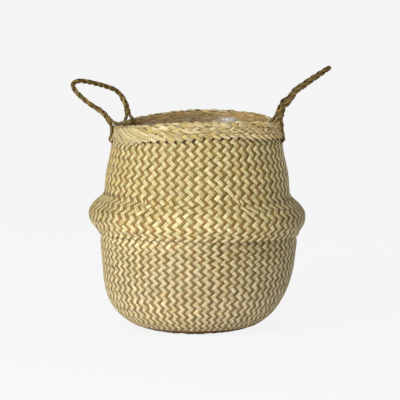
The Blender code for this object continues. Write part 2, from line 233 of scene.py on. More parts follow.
# Where each course starts round the basket, in shares of a zigzag, and its tone
FOLD_PHASES = (0.62, 0.2, 0.7, 0.3, 0.8, 0.4)
FOLD_TONES = (1.10, 1.10, 1.0, 1.04, 0.98, 0.96)
# The lowest course is even, as teeth; in the others place, height and lean vary more
TOOTH_WOBBLES = (0.05, 0.0007, 5)
FOLD_WOBBLES = (0.12, 0.0013, 13)
FOLD_LENGTH_RANGE = (0.8, 1.12)
FOLD_WIDTH_RANGE = (0.8, 1.1)
FOLD_PUFF_RANGE = (0.2, 1.3)
# Where the slats show plain, and where the folds are narrow, in degrees round from the front
PALE_UNTIL_DEG = -34.0
PALE_FADE_DEG = 8
PLAIN_DEG = ((-85, PALE_UNTIL_DEG), (100, 150))
NARROW_DEG = ((22, 80), (-170, -120))
NARROW = 0.75
NARROW_TOP = 0.85
# The border's tone, and how much of the darker straw it has, by the degrees round from the front
BORDER_DEGREES = (-180, -90, -60, -20, 10, 35, 50, 90, 180)
BORDER_TONES = (0.70, 0.66, 0.68, 0.75, 0.76, 1.20, 1.52, 1.3, 0.72)
BORDER_TONE_WOBBLE = 0.07
BORDER_DARKER = 0.32
BORDER_DARKER_DEGREES = (15.0, 45.0, 110.0, 150.0)
# The lining inside it: how far up its rows are, its tone by degrees and by row, darker on the rows deeper in the
# mouth as painted shade, and its strips
LINING_ROWS = (0.0520, 0.0555, 0.0590, 0.0625, 0.0660, 0.0695)
LINING_DEGREES = (-180, -160, -145, -120, 120, 134, 147, 160, 175, 180)
LINING_TONES = (0.88, 1.0, 1.25, 1.2, 1.15, 1.32, 1.37, 1.05, 0.88, 0.88)
LINING_ROW_TONES = (1.08, 0.9)
LINING_DARK_RANGE = (0.65, 0.95)
LINING_HALF_LENGTH = 0.0115
LINING_HALF_WIDTH = 0.0030
LINING_SLOPE = 0.12
# The shell behind the border: how high it starts, its skin, and its tones: dark below the crown on the outside, as
# painted shade in the gaps between the teeth, and paler elsewhere
SHELL_START = 0.0085
SHELL_SKIN = 0.0009
SHELL_TONE = 0.8
STRAW_SORTS = 400
STRIP_UV_SCALE = 240.0

# The handles, as in the solids
STRAND_RADIUS = 0.0024
LAY_LENGTH = 0.027
EYE_HEIGHT = 0.017
EYE_TIP_RADIUS = 0.003
EYE_RUNNING_GAP = 0.0009
FORK_LENGTH = 0.007
FORK_CLOSE = 0.014
LEFT_ROOTS_DEG = (190.0, 146.5)
LEFT_LEANS_DEG = (65.0, 10.0)
LEFT_REACH = 0.0595
LEFT_RISE = 0.0565
RIGHT_ROOTS_DEG = (-11.0, 15.0)
RIGHT_LEANS_DEG = (15.0, 15.0)
RIGHT_REACH = 0.0785
RIGHT_RISE = 0.0745
LEFT_LOOP_SHARES = (
    (-0.002, 0.08, 0.07), (-0.014, 0.19, 0.16), (-0.048, 0.47, 0.36), (-0.045, 0.75, 0.60),
    (-0.02, 0.93, 0.82), (0.054, 0.99, 0.96), (0.208, 0.94, 1.00), (0.386, 0.79, 0.93),
    (0.576, 0.61, 0.80), (0.766, 0.42, 0.65), (0.905, 0.27, 0.50), (0.985, 0.15, 0.30),
    (1.0, 0.07, 0.14),
)
RIGHT_HALF_LOOP_SHARES = (
    (-0.03, 0.02, 0.12), (-0.067, 0.12, 0.27), (-0.09, 0.25, 0.41), (-0.095, 0.43, 0.55),
    (-0.055, 0.60, 0.69), (0.03, 0.78, 0.83), (0.20, 0.93, 0.955),
)
RIGHT_LOOP_SHARES = (
    RIGHT_HALF_LOOP_SHARES + ((0.5, 1.0, 1.0),)
    + tuple((1 - along, out, up) for along, out, up in reversed(RIGHT_HALF_LOOP_SHARES))
)
# How the real ropes have settled: the right one's far leg lies lower, its near leg swells out and it is turned
# out, and the left one's top is lower
RIGHT_SKEW = 0.075
RIGHT_SWELL = 0.0115
RIGHT_SWELL_HEIGHT = 0.402
RIGHT_SWELL_REACH = 0.012
RIGHT_SETTLE_DEG = 3.2
LEFT_SETTLE = 0.0026
LEFT_SETTLE_HEIGHTS = (0.405, 0.435)

# How the ropes look: yarns in a strand, points round it, and its section in the laid part
YARNS = 5
RING = 20
YARN_TURN = 0.030
YARN_DARKS = (0.2, 0.5, 0.85, 1.0, 1.0)
YARN_TONE_WOBBLE = 0.12
YARN_WAVE_RANGE = (60, 200)
YARN_WAVE = 0.10
YARN_SWELLS = ((0.04, 330), (0.03, 790))
# The lobe of each yarn: its curve, and its size and painted shade in the groove and what its crown adds, as size and
# as painted highlight
LOBE_CURVE = 0.6
LOBE_SIZE = (0.86, 0.16)
LOBE_SHADE = (0.5, 0.55)
SQUARENESS = 0.85
YARN_UV = 0.9
ROPE_STEP = 0.0011
END_ROUNDING = 0.0022
STRAND_APART = 0.0021
STRAND_OUTER = 0.0022
STRAND_HALF_WIDTH = 0.0030
STRAND_FORKED_WIDTH = 0.0026
STRAND_CLOSES = (0.45, 0.8)
# Painted shade on each strand's inward side, towards the groove between the strands
GROOVE_DARKENING = 0.75
GROOVE_REACH = 0.35
LEFT_ROPE_TONE = 0.63
RIGHT_ROPE_TONE = 0.36
# The eyes: their section, where it slims to the tip, and how they are drawn in
EYE_OUTER = 0.0032
EYE_HALF_WIDTH = 0.0035
EYE_NECK = 0.0026
EYE_NECK_SHARES = (0.2, 0.95)
EYE_CROSS_SHARES = (0.9, 0.93)
EYE_TIP_STARTS = 0.65
EYE_TIP_FULL = 0.88
EYE_TUCK = 0.45
EYE_SHORTER = 0.6
EYE_TIGHTER = 0.8
EYE_TONE = 0.46
EYE_ARC_STEPS = (12, 1, 5, 3)
# Loose leaf ends near the eyes
LEAVES = 3
LEAF_POINTS = 12
LEAF_START = 0.0098
LEAF_LENGTH = 0.026
LEAF_SPREAD = 0.0040
LEAF_DRAWN_IN = 0.45
LEAF_TURN = 2.6
LEAF_HALF_WIDTH = 0.0017
LEAF_HALF_THICKNESS = 0.0006

# The film bag: its shape as in the solids, then its thickness here and its creases
FILM = 0.0006
FILM_WAIST_EASE = 0.009
FILM_TOP_DROP = 0.008
FILM_THICKNESS = 0.0003
FILM_SEGMENTS = 240
FILM_BOWL_LEVELS = 26
FILM_BOWL_SHARE = 0.96
FILM_NECK_LEVELS = 14
FILM_DRAWN_IN = 1.37
FILM_FOLDS = 12
FILM_FOLD_DEPTH = 0.004
FILM_FOLD_HEIGHTS = (0.16, 0.12)
FILM_FOLD_RATES = (5, 60)
FILM_FOLD_SIZES = (0.3, 1.0)
FILM_EDGE_DROP = 0.004
# Painted glints, where the film is made more opaque as if its creases caught the light: degrees round, height, how
# wide in degrees, how high, how strong
FILM_GLINTS = (
    (64.0, 0.361, 4.5, 0.007, 0.75), (68.0, 0.352, 3.0, 0.006, 0.5), (32.0, 0.364, 6.0, 0.008, 0.6),
    (240.0, 0.350, 6.0, 0.010, 0.5), (135.0, 0.350, 4.0, 0.012, 0.3), (300.0, 0.340, 5.0, 0.012, 0.4),
)

# Colours as they are seen, from 0 to 255, each after its place from one hue of straw to the other
LIGHT_STRAW = (
    (0.0, (240, 220, 162)), (0.14, (230, 207, 144)), (0.3, (242, 225, 170)), (0.45, (234, 221, 164)),
    (0.6, (246, 222, 170)), (0.75, (238, 220, 170)), (0.88, (248, 232, 188)), (1.0, (242, 220, 178)),
)
DARK_STRAW = (
    (0.0, (150, 120, 56)), (0.15, (172, 142, 74)), (0.3, (158, 134, 58)), (0.45, (176, 132, 70)),
    (0.6, (156, 130, 70)), (0.75, (160, 136, 84)), (0.88, (172, 144, 92)), (1.0, (150, 124, 78)),
)
LIGHT_BORDER_STRAW = (
    (0.0, (222, 196, 128)), (0.3, (240, 220, 168)), (0.5, (238, 222, 176)), (0.65, (230, 206, 134)),
    (0.85, (220, 198, 118)), (0.93, (240, 222, 180)), (1.0, (222, 184, 120)),
)
DARK_BORDER_STRAW = ((0.0, (140, 106, 52)), (1.0, (164, 128, 76)))
LIGHT_ROPE = ((0.0, (220, 188, 108)), (0.5, (200, 174, 92)), (1.0, (220, 182, 108)))
DARK_ROPE = ((0.0, (102, 76, 28)), (0.35, (138, 112, 48)), (0.65, (112, 96, 36)), (1.0, (148, 106, 50)))
FILM_COLOUR = (226, 222, 214)
FLOOR_COLOUR = (238, 238, 238)
FLOOR_SEEN = (248, 248, 248)
BACKDROP_SEEN = (246, 246, 246)
# The floor, and how much of what the camera sees of it is plain; the rest keeps the basket's soft shadow
FLOOR_SIZE = 80.0
FLOOR_DROP = 0.0002
FLOOR_PLAIN_SHARE = 0.93
WORLD_STRENGTH = 0.57
# The lamps: place, target, size and power
LAMPS = {
    "key": ((-1.7, -2.6, 1.6), (0, 0, 0.2), 1.2, 85.0),
    "low card": ((-1.2, -2.5, 0.02), (0, 0, 0.1), 1.2, 38.0),
}
# The camera, looking a little down on the basket from the front
CAMERA_PLACE = (0.00525, -5.0, 0.742)
CAMERA_TARGET = (0.00525, 0.0, 0.225)
CAMERA_LENS = 258.5
CAMERA_SENSOR = 36.0
CAMERA_END = 200.0
# Streaks in a strip: how close across and along it, their detail, and the darkest and palest that they make it
FINE_STREAKS = (9.0, 0.5, 4.0)
FINE_PALEST = 1.04
COARSE_STREAKS = (((2.8, 0.12, 1.0), (0.70, 1.10)), ((1.2, 0.35, 2.0), (0.88, 1.06)))
NOISE_RANGE = (0.3, 0.7)
MIDRIB_RANGE = (0.06, 0.16)


# ---- Materials


def linear(red, green, blue):
    """A colour as it is seen, from 0 to 255, as the light that it stands for."""
    values = []
    for value in (red, green, blue):
        share = value / 255
        values.append(share / 12.92 if share <= 0.04045 else ((share + 0.055) / 1.055) ** 2.4)
    return (*values, 1.0)


def add_node(tree, kind, inputs, **settings):
    """A node with its settings, and with each input given a value or linked to an output."""
    node = tree.nodes.new("ShaderNode" + kind)
    for setting, value in settings.items():
        setattr(node, setting, value)
    for key, value in inputs.items():
        if isinstance(value, bpy.types.NodeSocket):
            tree.links.new(value, node.inputs[key])
        else:
            node.inputs[key].default_value = value
    return node


def new_material(name, roughness, specular):
    material = bpy.data.materials.new(name)
    material.use_nodes = True
    shader = material.node_tree.nodes["Principled BSDF"]
    shader.inputs["Roughness"].default_value = roughness
    shader.inputs["Specular IOR Level"].default_value = specular
    return material, material.node_tree, shader


def worked(tree, operation, *values, **settings):
    return add_node(tree, "Math", dict(enumerate(values)), operation=operation, **settings).outputs["Value"]


def mapped(tree, value, source, target):
    """A value moved from one range to another."""
    inputs = {"Value": value, "From Min": source[0], "From Max": source[1], "To Min": target[0], "To Max": target[1]}
    return add_node(tree, "MapRange", inputs).outputs["Result"]


def mixed(tree, share, one, other, **settings):
    inputs = {"Factor": share, "A": one, "B": other}
    return add_node(tree, "Mix", inputs, data_type="RGBA", **settings).outputs["Result"]


def times(tree, colour, amount):
    """A colour times a grey or a tint."""
    return mixed(tree, 1.0, colour, amount, blend_type="MULTIPLY")


def ramp(tree, place, stops):
    node = add_node(tree, "ValToRGB", {"Fac": place})
    elements = node.color_ramp.elements
    while len(elements) < len(stops):
        elements.new(0.5)
    for element, (at, colour) in zip(elements, stops):
        element.position = at
        element.color = linear(*colour)
    return node.outputs["Color"]


def strip_uv(tree):
    return add_node(tree, "UVMap", {}, uv_map="UVMap").outputs["UV"]


def streaks(tree, across, along, detail):
    """Noise drawn out along a strip, from its own UV map."""
    drawn = add_node(tree, "Mapping", {"Vector": strip_uv(tree), "Scale": (across, along, 1.0)})
    inputs = {"Vector": drawn.outputs["Vector"], "Scale": 1.0, "Detail": detail, "Roughness": 0.6}
    return add_node(tree, "TexNoise", inputs).outputs["Fac"]


def bumped(tree, height, strength, distance):
    inputs = {"Height": height, "Strength": strength, "Distance": distance}
    return add_node(tree, "Bump", inputs).outputs["Normal"]


def shaded(tree, colour, tone, warmth):
    """A colour times a tone, which carries painted shade, warmer where the tone is dark as painted bounce light
    between strips that light each other.
    """
    capped = worked(tree, "MINIMUM", tone, 1.0)
    exponents = {"X": -0.2 * warmth, "Y": 0.0, "Z": warmth}
    tint = {axis: worked(tree, "POWER", capped, exponent) for axis, exponent in exponents.items()}
    return times(tree, times(tree, colour, tone), add_node(tree, "CombineXYZ", tint).outputs["Vector"])


def midrib(tree, tone):
    """A fine line along the middle of a strip, where its own UV map is whole across it."""
    across = add_node(tree, "SeparateXYZ", {"Vector": strip_uv(tree)}).outputs["X"]
    return mapped(tree, worked(tree, "PINGPONG", across, 0.5), MIDRIB_RANGE, (tone, 1.0))


def plaited_material(name, light_stops, dark_stops, roughness, grain, warmth, rib=1.0):
    """Strips of split leaf: the attribute holds how dark the strip is, its tone, which carries painted light and
    shade, and its hue.
    """
    material, tree, shader = new_material(name, roughness, 0.35)
    strip = add_node(tree, "Attribute", {}, attribute_name="strip").outputs["Vector"]
    dark, tone, hue = add_node(tree, "SeparateXYZ", {"Vector": strip}).outputs
    straw = mixed(tree, dark, ramp(tree, hue, light_stops), ramp(tree, hue, dark_stops))
    fine = streaks(tree, *FINE_STREAKS)
    grained = mapped(tree, fine, NOISE_RANGE, (1 - grain, FINE_PALEST))
    colour = times(tree, shaded(tree, straw, tone, warmth), grained)
    for closeness, tones in COARSE_STREAKS:
        colour = times(tree, colour, mapped(tree, streaks(tree, *closeness), NOISE_RANGE, tones))
    if rib < 1.0:
        colour = times(tree, colour, midrib(tree, rib))
    tree.links.new(colour, shader.inputs["Base Color"])
    sheen = mapped(tree, fine, NOISE_RANGE, (roughness + 0.12, roughness - 0.1))
    tree.links.new(sheen, shader.inputs["Roughness"])
    tree.links.new(bumped(tree, fine, 0.35, 0.0004), shader.inputs["Normal"])
    return material


def film_material():
    """Clear film: almost unseen, with milky patches where it creases, and painted glints from its glint attribute."""
    material, tree, shader = new_material("clear creased film", 0.14, 0.7)
    shader.inputs["Base Color"].default_value = linear(*FILM_COLOUR)
    place = add_node(tree, "TexCoord", {}).outputs["Object"]
    patch = add_node(tree, "TexNoise", {"Vector": place, "Scale": 22.0, "Detail": 2.0}).outputs["Fac"]
    crease = add_node(tree, "TexNoise", {"Vector": place, "Scale": 60.0, "Detail": 2.0}).outputs["Fac"]
    glint = add_node(tree, "Attribute", {}, attribute_name="glint").outputs["Fac"]
    patchy = mapped(tree, patch, (0.5, 0.72), (0.02, 0.22))
    # Painted glints: the glint attribute makes the film more opaque and paler there
    tree.links.new(worked(tree, "ADD", patchy, glint, use_clamp=True), shader.inputs["Alpha"])
    tree.links.new(bumped(tree, crease, 0.3, 0.001), shader.inputs["Normal"])
    return material


# ---- Meshes


def select_only(piece):
    bpy.ops.object.select_all(action="DESELECT")
    bpy.context.view_layer.objects.active = piece
    piece.select_set(True)


def new_piece(name, places, faces, material, edges=()):
    """A smooth mesh as a piece of its own, the only one selected."""
    mesh = bpy.data.meshes.new(name)
    mesh.from_pydata(places, edges, faces)
    mesh.materials.append(material)
    mesh.shade_smooth()
    piece = bpy.data.objects.new(name, mesh)
    bpy.context.collection.objects.link(piece)
    select_only(piece)
    return piece


def give_looks(mesh, looks, uv=None):
    """How dark each point is, its tone and its hue, and its place along and across its strip."""
    strip = mesh.attributes.new("strip", "FLOAT_VECTOR", "POINT")
    strip.data.foreach_set("vector", looks.astype(np.float32).ravel())
    layer = mesh.uv_layers.new(name="UVMap")
    if uv is not None:
        corners = np.zeros(len(mesh.loops), np.int32)
        mesh.loops.foreach_get("vertex_index", corners)
        layer.data.foreach_set("uv", uv.reshape(-1, 2)[corners].astype(np.float32).ravel())


def face_outwards():
    bpy.ops.mesh.select_all(action="SELECT")
    bpy.ops.mesh.normals_make_consistent(inside=False)


def joined(name, parts):
    bpy.ops.object.select_all(action="DESELECT")
    for part in parts:
        part.select_set(True)
    bpy.context.view_layer.objects.active = parts[0]
    bpy.ops.object.join()
    whole = bpy.context.object
    whole.name = name
    whole.data.name = name
    return whole


# ---- The meridian of the woven body


def eased(value, low, high):
    share = min(max((value - low) / (high - low), 0.0), 1.0)
    return share * share * (3 - 2 * share)


def between(start, end, shares):
    (r0, z0), (r1, z1) = start, end
    return [(r0 + out * (r1 - r0), z0 + up * (z1 - z0)) for out, up in shares] + [end]


def smooth_run(points, parts=16):
    """A smooth line through the points."""
    knots = [np.array(p, float) for p in points]
    padded = [2 * knots[0] - knots[1]] + knots + [2 * knots[-1] - knots[-2]]
    line = []
    for p0, p1, p2, p3 in zip(padded, padded[1:], padded[2:], padded[3:]):
        for part in range(parts):
            t = part / parts
            line.append(
                0.5 * (2 * p1 + (p2 - p0) * t + (2 * p0 - 5 * p1 + 4 * p2 - p3) * t ** 2
                       + (3 * p1 - p0 - 3 * p2 + p3) * t ** 3)
            )
    line.append(knots[-1])
    return line


class Meridian:
    """A line of (radius, height) points, read by the length run along it."""

    def __init__(self, line):
        self.points = np.array(line)
        steps = np.diff(self.points, axis=0)
        lengths = np.hypot(steps[:, 0], steps[:, 1])
        self.run = np.concatenate([[0.0], np.cumsum(lengths)])
        self.length = self.run[-1]
        slope = np.gradient(self.points, self.run, axis=0)
        slope /= np.hypot(slope[:, 0], slope[:, 1])[:, None]
        self.normals = np.stack([slope[:, 1], -slope[:, 0]], axis=1)

    def at(self, run, lift):
        """Radius and height of places at a run along the line and a lift off it."""
        values = []
        for axis in (0, 1):
            base = np.interp(run, self.run, self.points[:, axis])
            values.append(base + lift * np.interp(run, self.run, self.normals[:, axis]))
        return values

    def run_at_height(self, height, start=0.0):
        ahead = self.run >= start
        index = np.argmax(self.points[ahead][:, 1] >= height)
        return self.run[ahead][index]

    def run_at_radius(self, radius, points=40):
        """The run at a radius of the bottom, which only the line's first points cross."""
        return np.interp(radius, self.points[:points, 0], self.run[:points])


def woven_meridian():
    floor = (FLOOR_RADIUS, 0.0)
    crease = (CREASE_RADIUS, CREASE_HEIGHT)
    belly = (BELLY_RADIUS, BELLY_HEIGHT)
    waist = (WAIST_RADIUS, WAIST_HEIGHT)
    neck = (NECK_RADIUS, RIM_HEIGHT - BAND_DEPTH)
    bowl = [(FLOOR_RADIUS / 2, 0.0), floor] + between(floor, crease, BASE_SHARES + BOWL_SHARES)
    above = [crease] + between(crease, belly, FLARE_SHARES) + between(belly, waist, SHOULDER_SHARES)
    above += between(waist, neck, NECK_SHARES) + [(NECK_RADIUS, RIM_HEIGHT - BAND_CROWN)]
    lower = smooth_run(bowl)
    line = Meridian(lower[:-1] + smooth_run(above))
    crease_run = Meridian(lower).length
    base_run = np.interp(BASE_END_HEIGHT, line.points[:len(lower), 1], line.run[:len(lower)])
    ends = {
        "base": base_run,
        "lower_wall": crease_run,
        "belly_flare": line.run_at_height(BELLY_HEIGHT, crease_run),
        "belly_shoulder": line.run_at_height(WAIST_HEIGHT, crease_run),
        "upper_wall": line.length,
    }
    return line, ends


# The body's outline, and the run along it at which each piece ends
BODY, BODY_ENDS = woven_meridian()
CREASE_RUN = BODY_ENDS["lower_wall"]


def from_front(degrees):
    """Degrees round from the front, up to 180 either way, for degrees round from +X."""
    return (degrees + 90.0 + 180.0) % 360.0 - 180.0


def rim_sag(turn):
    """How far the top edge hangs below the solid's level one, by the angle round the basket."""
    side = np.cos(turn)
    left = SAG_LEFT[0] * np.clip(-side, 0.0, 1.0) ** SAG_LEFT[1]
    right = SAG_RIGHT[0] * np.clip(side, 0.0, 1.0) ** SAG_RIGHT[1]
    return SAG_EVEN + left + right


def edge_rise(turn):
    return np.interp(from_front(np.degrees(turn)), EDGE_DEGREES, EDGE_RISES)


def mouth_share(z):
    low, high = SAG_HEIGHTS
    return np.clip((z - low) / (high - low), 0.0, 1.0)


def settled(turn, r, z):
    """A place as the basket stands: the mouth drawn down and in, the bowl leaning, the belly low on the right."""
    side = np.cos(turn)
    share = mouth_share(z)
    lean = np.interp(z, LEAN_HEIGHTS, LEANS) * np.clip(r / FULL_LEAN_RADIUS, 0.0, 1.0) * side
    drop = np.interp(z, DROP_HEIGHTS, DROPS) * np.clip(side, 0.0, 1.0) ** 2
    return r * (1 - MOUTH_IN * share * side ** 2) + lean, z - share * rim_sag(turn) - drop


# ---- Strips


def model_strip(name, stations, widths, drops, edge_drop, edge_painted_shade):
    """One visible stretch of strip, lying flat: its ends dip under and its long edges turn down.

    With its places and faces comes how dark each place is: the long edges and dipping ends are painted darker, as
    painted shade where the strips meet and pass under each other.
    """
    bpy.ops.object.select_all(action="DESELECT")
    bpy.ops.mesh.primitive_grid_add(x_subdivisions=len(stations) - 1, y_subdivisions=len(widths) - 1, size=2)
    strip = bpy.context.object
    strip.name = name
    columns = sorted({round(v.co.x, 5) for v in strip.data.vertices})
    rows = sorted({round(v.co.y, 5) for v in strip.data.vertices})
    numbers = {}
    for vertex in strip.data.vertices:
        column = columns.index(round(vertex.co.x, 5))
        row = rows.index(round(vertex.co.y, 5))
        numbers[column, row] = vertex.index
        height = -drops[column] - (edge_drop if row in (0, len(rows) - 1) else 0.0)
        vertex.co = (stations[column], widths[row], height)
    places = np.array([v.co for v in strip.data.vertices])
    faces = [list(f.vertices) for f in strip.data.polygons]
    bpy.data.objects.remove(strip, do_unlink=True)
    last, top = len(stations) - 1, len(widths) - 1
    for column in range(last):
        under = ((column, 0), (column, top), (column + 1, top), (column + 1, 0))
        faces.append([numbers[corner] for corner in under])
    faces.append([numbers[0, row] for row in range(top + 1)])
    faces.append([numbers[last, row] for row in reversed(range(top + 1))])
    # Painted shade: long edges and dipping ends are darker
    edge = np.isclose(np.abs(places[:, 1]), 1.0)
    shades = np.where(edge, edge_painted_shade, 1.0) * np.interp(-places[:, 2], END_DIPS, (1.0, PAINTED_END_SHADE))
    return places, faces, shades


OUTER_STRIP = model_strip(
    "outer strip", (-1.34, -1.0, -0.86, 0.86, 1.0, 1.34), (-1.0, -0.78, 0.78, 1.0),
    (0.0018, 0.0007, 0.0, 0.0, 0.0007, 0.0018), 0.0003, 0.45,
)
INNER_STRIP = model_strip(
    "inner strip", (-1.3, -0.7, 0.7, 1.3), (-1.0, 0.0, 1.0), (0.0012, 0.0001, 0.0001, 0.0012), 0.0004, 0.85,
)
BORDER_SLAT = model_strip(
    "border slat", (-1.0, -0.93, -0.78, -0.6, -0.4, -0.2, 0.0, 0.2, 0.4, 0.6, 0.78, 0.94, 1.0),
    (-1.0, -0.8, 0.0, 0.8, 1.0),
    (0.0016, 0.0007, 0.0002, 0.0001, 0.0, 0.0, 0.0, 0.0, 0.0, 0.0, 0.0, 0.0001, 0.0006), 0.0006, 0.45,
)
BORDER_TOOTH = model_strip(
    "border tooth", (-1.0, -0.9, -0.4, 0.4, 0.92, 1.0), (-1.0, -0.8, 0.0, 0.8, 1.0),
    (0.0016, 0.0004, 0.0, 0.0, 0.0002, 0.0012), 0.0006, 0.4,
)
BORDER_FOLD = model_strip(
    "border fold", (-1.0, -0.88, -0.55, -0.2, 0.2, 0.55, 0.88, 1.0), (-1.0, -0.75, 0.0, 0.75, 1.0),
    (0.0016, 0.0005, 0.0001, 0.0, 0.0, 0.0001, 0.0005, 0.0016), 0.0006, 0.4,
)


class Lay:
    """Strips laid on a surface: each has a middle, a direction, a size, a lift and its looks."""

    def __init__(self):
        self.rows = []

    def add(self, x, y, dx, dy, half_length, half_width, lift, look, strip_id, roll=0.0, puff=0.0):
        size = math.hypot(dx, dy)
        self.rows.append((x, y, dx / size, dy / size, half_length, half_width, lift, *look, strip_id, roll, puff))

    def mesh(self, name, pattern, surface, material, uv_scale=1.0):
        """All the strips as one mesh, bent onto the surface."""
        places, faces, shades = pattern
        rows = np.array(self.rows)
        column = [rows[:, k][:, None] for k in range(rows.shape[1])]
        x, y, dx, dy, half_length, half_width, lift, dark, tone, hue, strip_id, roll, puff = column
        along = places[:, 0][None] * half_length
        across = places[:, 1][None] * half_width
        height = places[:, 2][None] + lift + roll * places[:, 1][None]
        height = height + puff * np.clip(1 - places[:, 0][None] ** 2, 0, 1) * (1 - 0.6 * places[:, 1][None] ** 2)
        spots = surface(x + dx * along - dy * across, y + dy * along + dx * across, height)
        vertices = np.stack(spots, axis=-1).reshape(-1, 3)
        count = len(places)
        polygons = [[corner + count * k for corner in face] for k in range(len(rows)) for face in faces]
        piece = new_piece(name, vertices.tolist(), polygons, material)
        # The pattern's painted shade at edges and dipping ends
        tone = tone * shades[None]
        where = x * dx + y * dy + 0 * along
        # Each strip has its own stretch of the noise that streaks it
        uv = np.stack([across * uv_scale + strip_id * 4.0, (along + where) * uv_scale + strip_id * 1.3], axis=-1)
        give_looks(piece.data, np.stack([dark + 0 * tone, tone, hue + 0 * tone], axis=-1), uv)
        return piece


def tilted(rng, dx, dy, degrees):
    turn = math.radians(rng.gauss(0.0, degrees))
    return dx * math.cos(turn) - dy * math.sin(turn), dx * math.sin(turn) + dy * math.cos(turn)


# ---- The body


def run_of(y):
    """How far along the wall a height in crossings is."""
    return CREASE_RUN + np.interp(np.asarray(y) / CROSSINGS + ROW_SHIFT, ROW_NUMBERS, ROW_RUNS)


def matched_edges():
    """Degrees of the lower zigzags' edges at the waist, where the upper, fewer ones carry on."""
    step = 360 / UPPER_COLUMNS
    dropped = {round(degrees / step) for degrees in DROPPED_DEG}
    edges = []
    for column in range(UPPER_COLUMNS):
        if column in dropped:
            edges += [column * step - step * DROPPED_WIDTH / 2, column * step + step * DROPPED_WIDTH / 2]
        else:
            edges.append(column * step)
    return np.array(edges + [360.0])


def turns_of(x, y, upper):
    """Angles round the basket of places in crossings."""
    start = math.radians(WEAVE_TURN_DEG)
    if upper:
        return start + 2 * math.pi * x / (UPPER_COLUMNS * CROSSINGS)
    around = LOWER_COLUMNS * CROSSINGS
    even = 360.0 * x / around
    edges = matched_edges()
    numbers = np.arange(len(edges)) * CROSSINGS
    drift = edges.mean() - (numbers * 360.0 / around).mean() + LOWER_TURN_DEG
    whole = np.floor(x / around)
    matched = np.interp(x - whole * around, numbers, edges) + whole * 360.0
    share = np.clip((run_of(y) - BODY_ENDS["belly_shoulder"]) / DROP_RUN + 1.0, 0.0, 1.0)
    share = share * share * (3 - 2 * share)
    return start + np.radians(even + drift + share * (matched - even - drift))


def fold_push(run):
    """How far the plait stands out of the plain wall: in under the belly, out over it, in behind the border."""
    below = np.clip(1 - (CREASE_RUN - run) / FOLD_BELOW_RUN, 0.0, 1.0) * (run <= CREASE_RUN)
    above = np.clip(1 - (run - CREASE_RUN) / FOLD_ABOVE_RUN, 0.0, 1.0) * (run > CREASE_RUN)
    border = np.clip((run - BODY.length + BORDER_TUCK_RUN) / BORDER_TUCK_START, 0.0, 1.0)
    return FOLD_OUT * above ** FOLD_CURVE - FOLD_IN * below ** FOLD_CURVE - BORDER_TUCK * border


def body_surface(upper, inside=False, side=0):
    """Flat crossings to places on the woven body's outer face, or on its inner one, which runs the other way.

    A side of 1 or -1 keeps a piece on its own side of the fold under the belly.
    """

    def surface(x, y, lift):
        turn = turns_of(-x if inside else x, y, upper)
        wander = np.sin(5 * turn + 0.21 * y) + np.sin(11 * turn - 0.13 * y + 1.0)
        sway = np.sin(4 * turn + 0.17 * y + 2.0) + np.sin(13 * turn + 0.31 * y)
        turn = turn + WANDER_TURN * wander
        run = run_of(y + WANDER_ROW * sway)
        kept = run if side == 0 else CREASE_RUN + side * np.maximum(side * (run - CREASE_RUN), 0.00001)
        height = -INNER_CROWN - lift if inside else CROWN_LIFT + lift
        r, z = settled(turn, *BODY.at(run, height + fold_push(kept)))
        return r * np.cos(turn), r * np.sin(turn), z

    return surface


def disc_surface(inside=False):
    """Flat crossings to places under the basket's bottom, or on top of it."""

    def surface(x, y, lift):
        flip = 1 if inside else -1
        level = INNER_CROWN + lift if inside else -lift
        return x * DISC_CROSSING + LEANS[0], flip * y * DISC_CROSSING, level + 0 * x

    return surface


def strip_looks(rng, columns):
    """Tone and hue of every strip, both ways round the basket."""
    return {way: [(rng.gauss(0.0, TONE_WOBBLE), rng.random()) for _ in range(2 * columns)] for way in "AB"}


def weave_floats(rng, looks, columns, rows, inside):
    """Middles, directions, widths and looks of all the visible stretches in the rows of zigzags."""
    if inside:
        tile = (("A", 1.5, 2.5), ("A", 3.5, 2.5), ("B", 0.5, 0.5), ("B", 2.5, 0.5))
    else:
        tile = (("A", 1.5, 0.5), ("A", 3.5, 0.5), ("B", 0.5, 2.5), ("B", 2.5, 2.5))
    mirror = -1 if inside else 1
    for row in rows:
        for column in range(columns):
            for way, tile_x, tile_y in tile:
                x = column * CROSSINGS + tile_x
                y = row * CROSSINGS + tile_y
                strip_id = round((x + y) / 2 if way == "A" else (y - x) / 2) % (2 * columns)
                tone, hue = looks[way][strip_id]
                dark = strip_id % 2
                tone = 1.0 + tone + rng.gauss(0.0, TONE_WOBBLE)
                hue = min(max(hue + rng.gauss(0.0, HUE_WOBBLE), 0.0), 1.0)
                tone *= 1.0 if dark else LIGHT_TONE
                dx = -1.0 if way == "A" else 1.0
                along = LIGHT_WIDER / 2 * (1 if dark else -1) * mirror
                width = (1 - LIGHT_WIDER if dark else 1 + LIGHT_WIDER) / math.sqrt(2)
                if inside:
                    dark, tone = INNER_DARK[0] + INNER_DARK[1] * dark, tone * INNER_TONE
                yield way, mirror * (x + along * dx), y + along, mirror * dx, width, (dark, tone, hue), strip_id


def height_and_degrees(x, y, upper):
    """Height of a place in crossings, and its degrees round from the front."""
    return float(BODY.at(run_of(y), 0.0)[1]), from_front(math.degrees(float(turns_of(x, y, upper))))


def painted_straw_light(height, degrees, dark):
    # Painted light and shade: paler or darker by height and by how far round to the side
    front = np.interp(height, TONE_HEIGHTS, FRONT_PAINTED_LIGHT)
    side = np.interp(height, TONE_HEIGHTS, SIDE_PAINTED_LIGHT)
    aside = math.sin(math.radians(degrees))
    parted = -DARK_PARTED * aside if dark else LIGHT_PARTED * aside * (height > WAIST_HEIGHT)
    return (1 + parted) * (side + (front - side) * math.cos(math.radians(degrees)) ** 2)


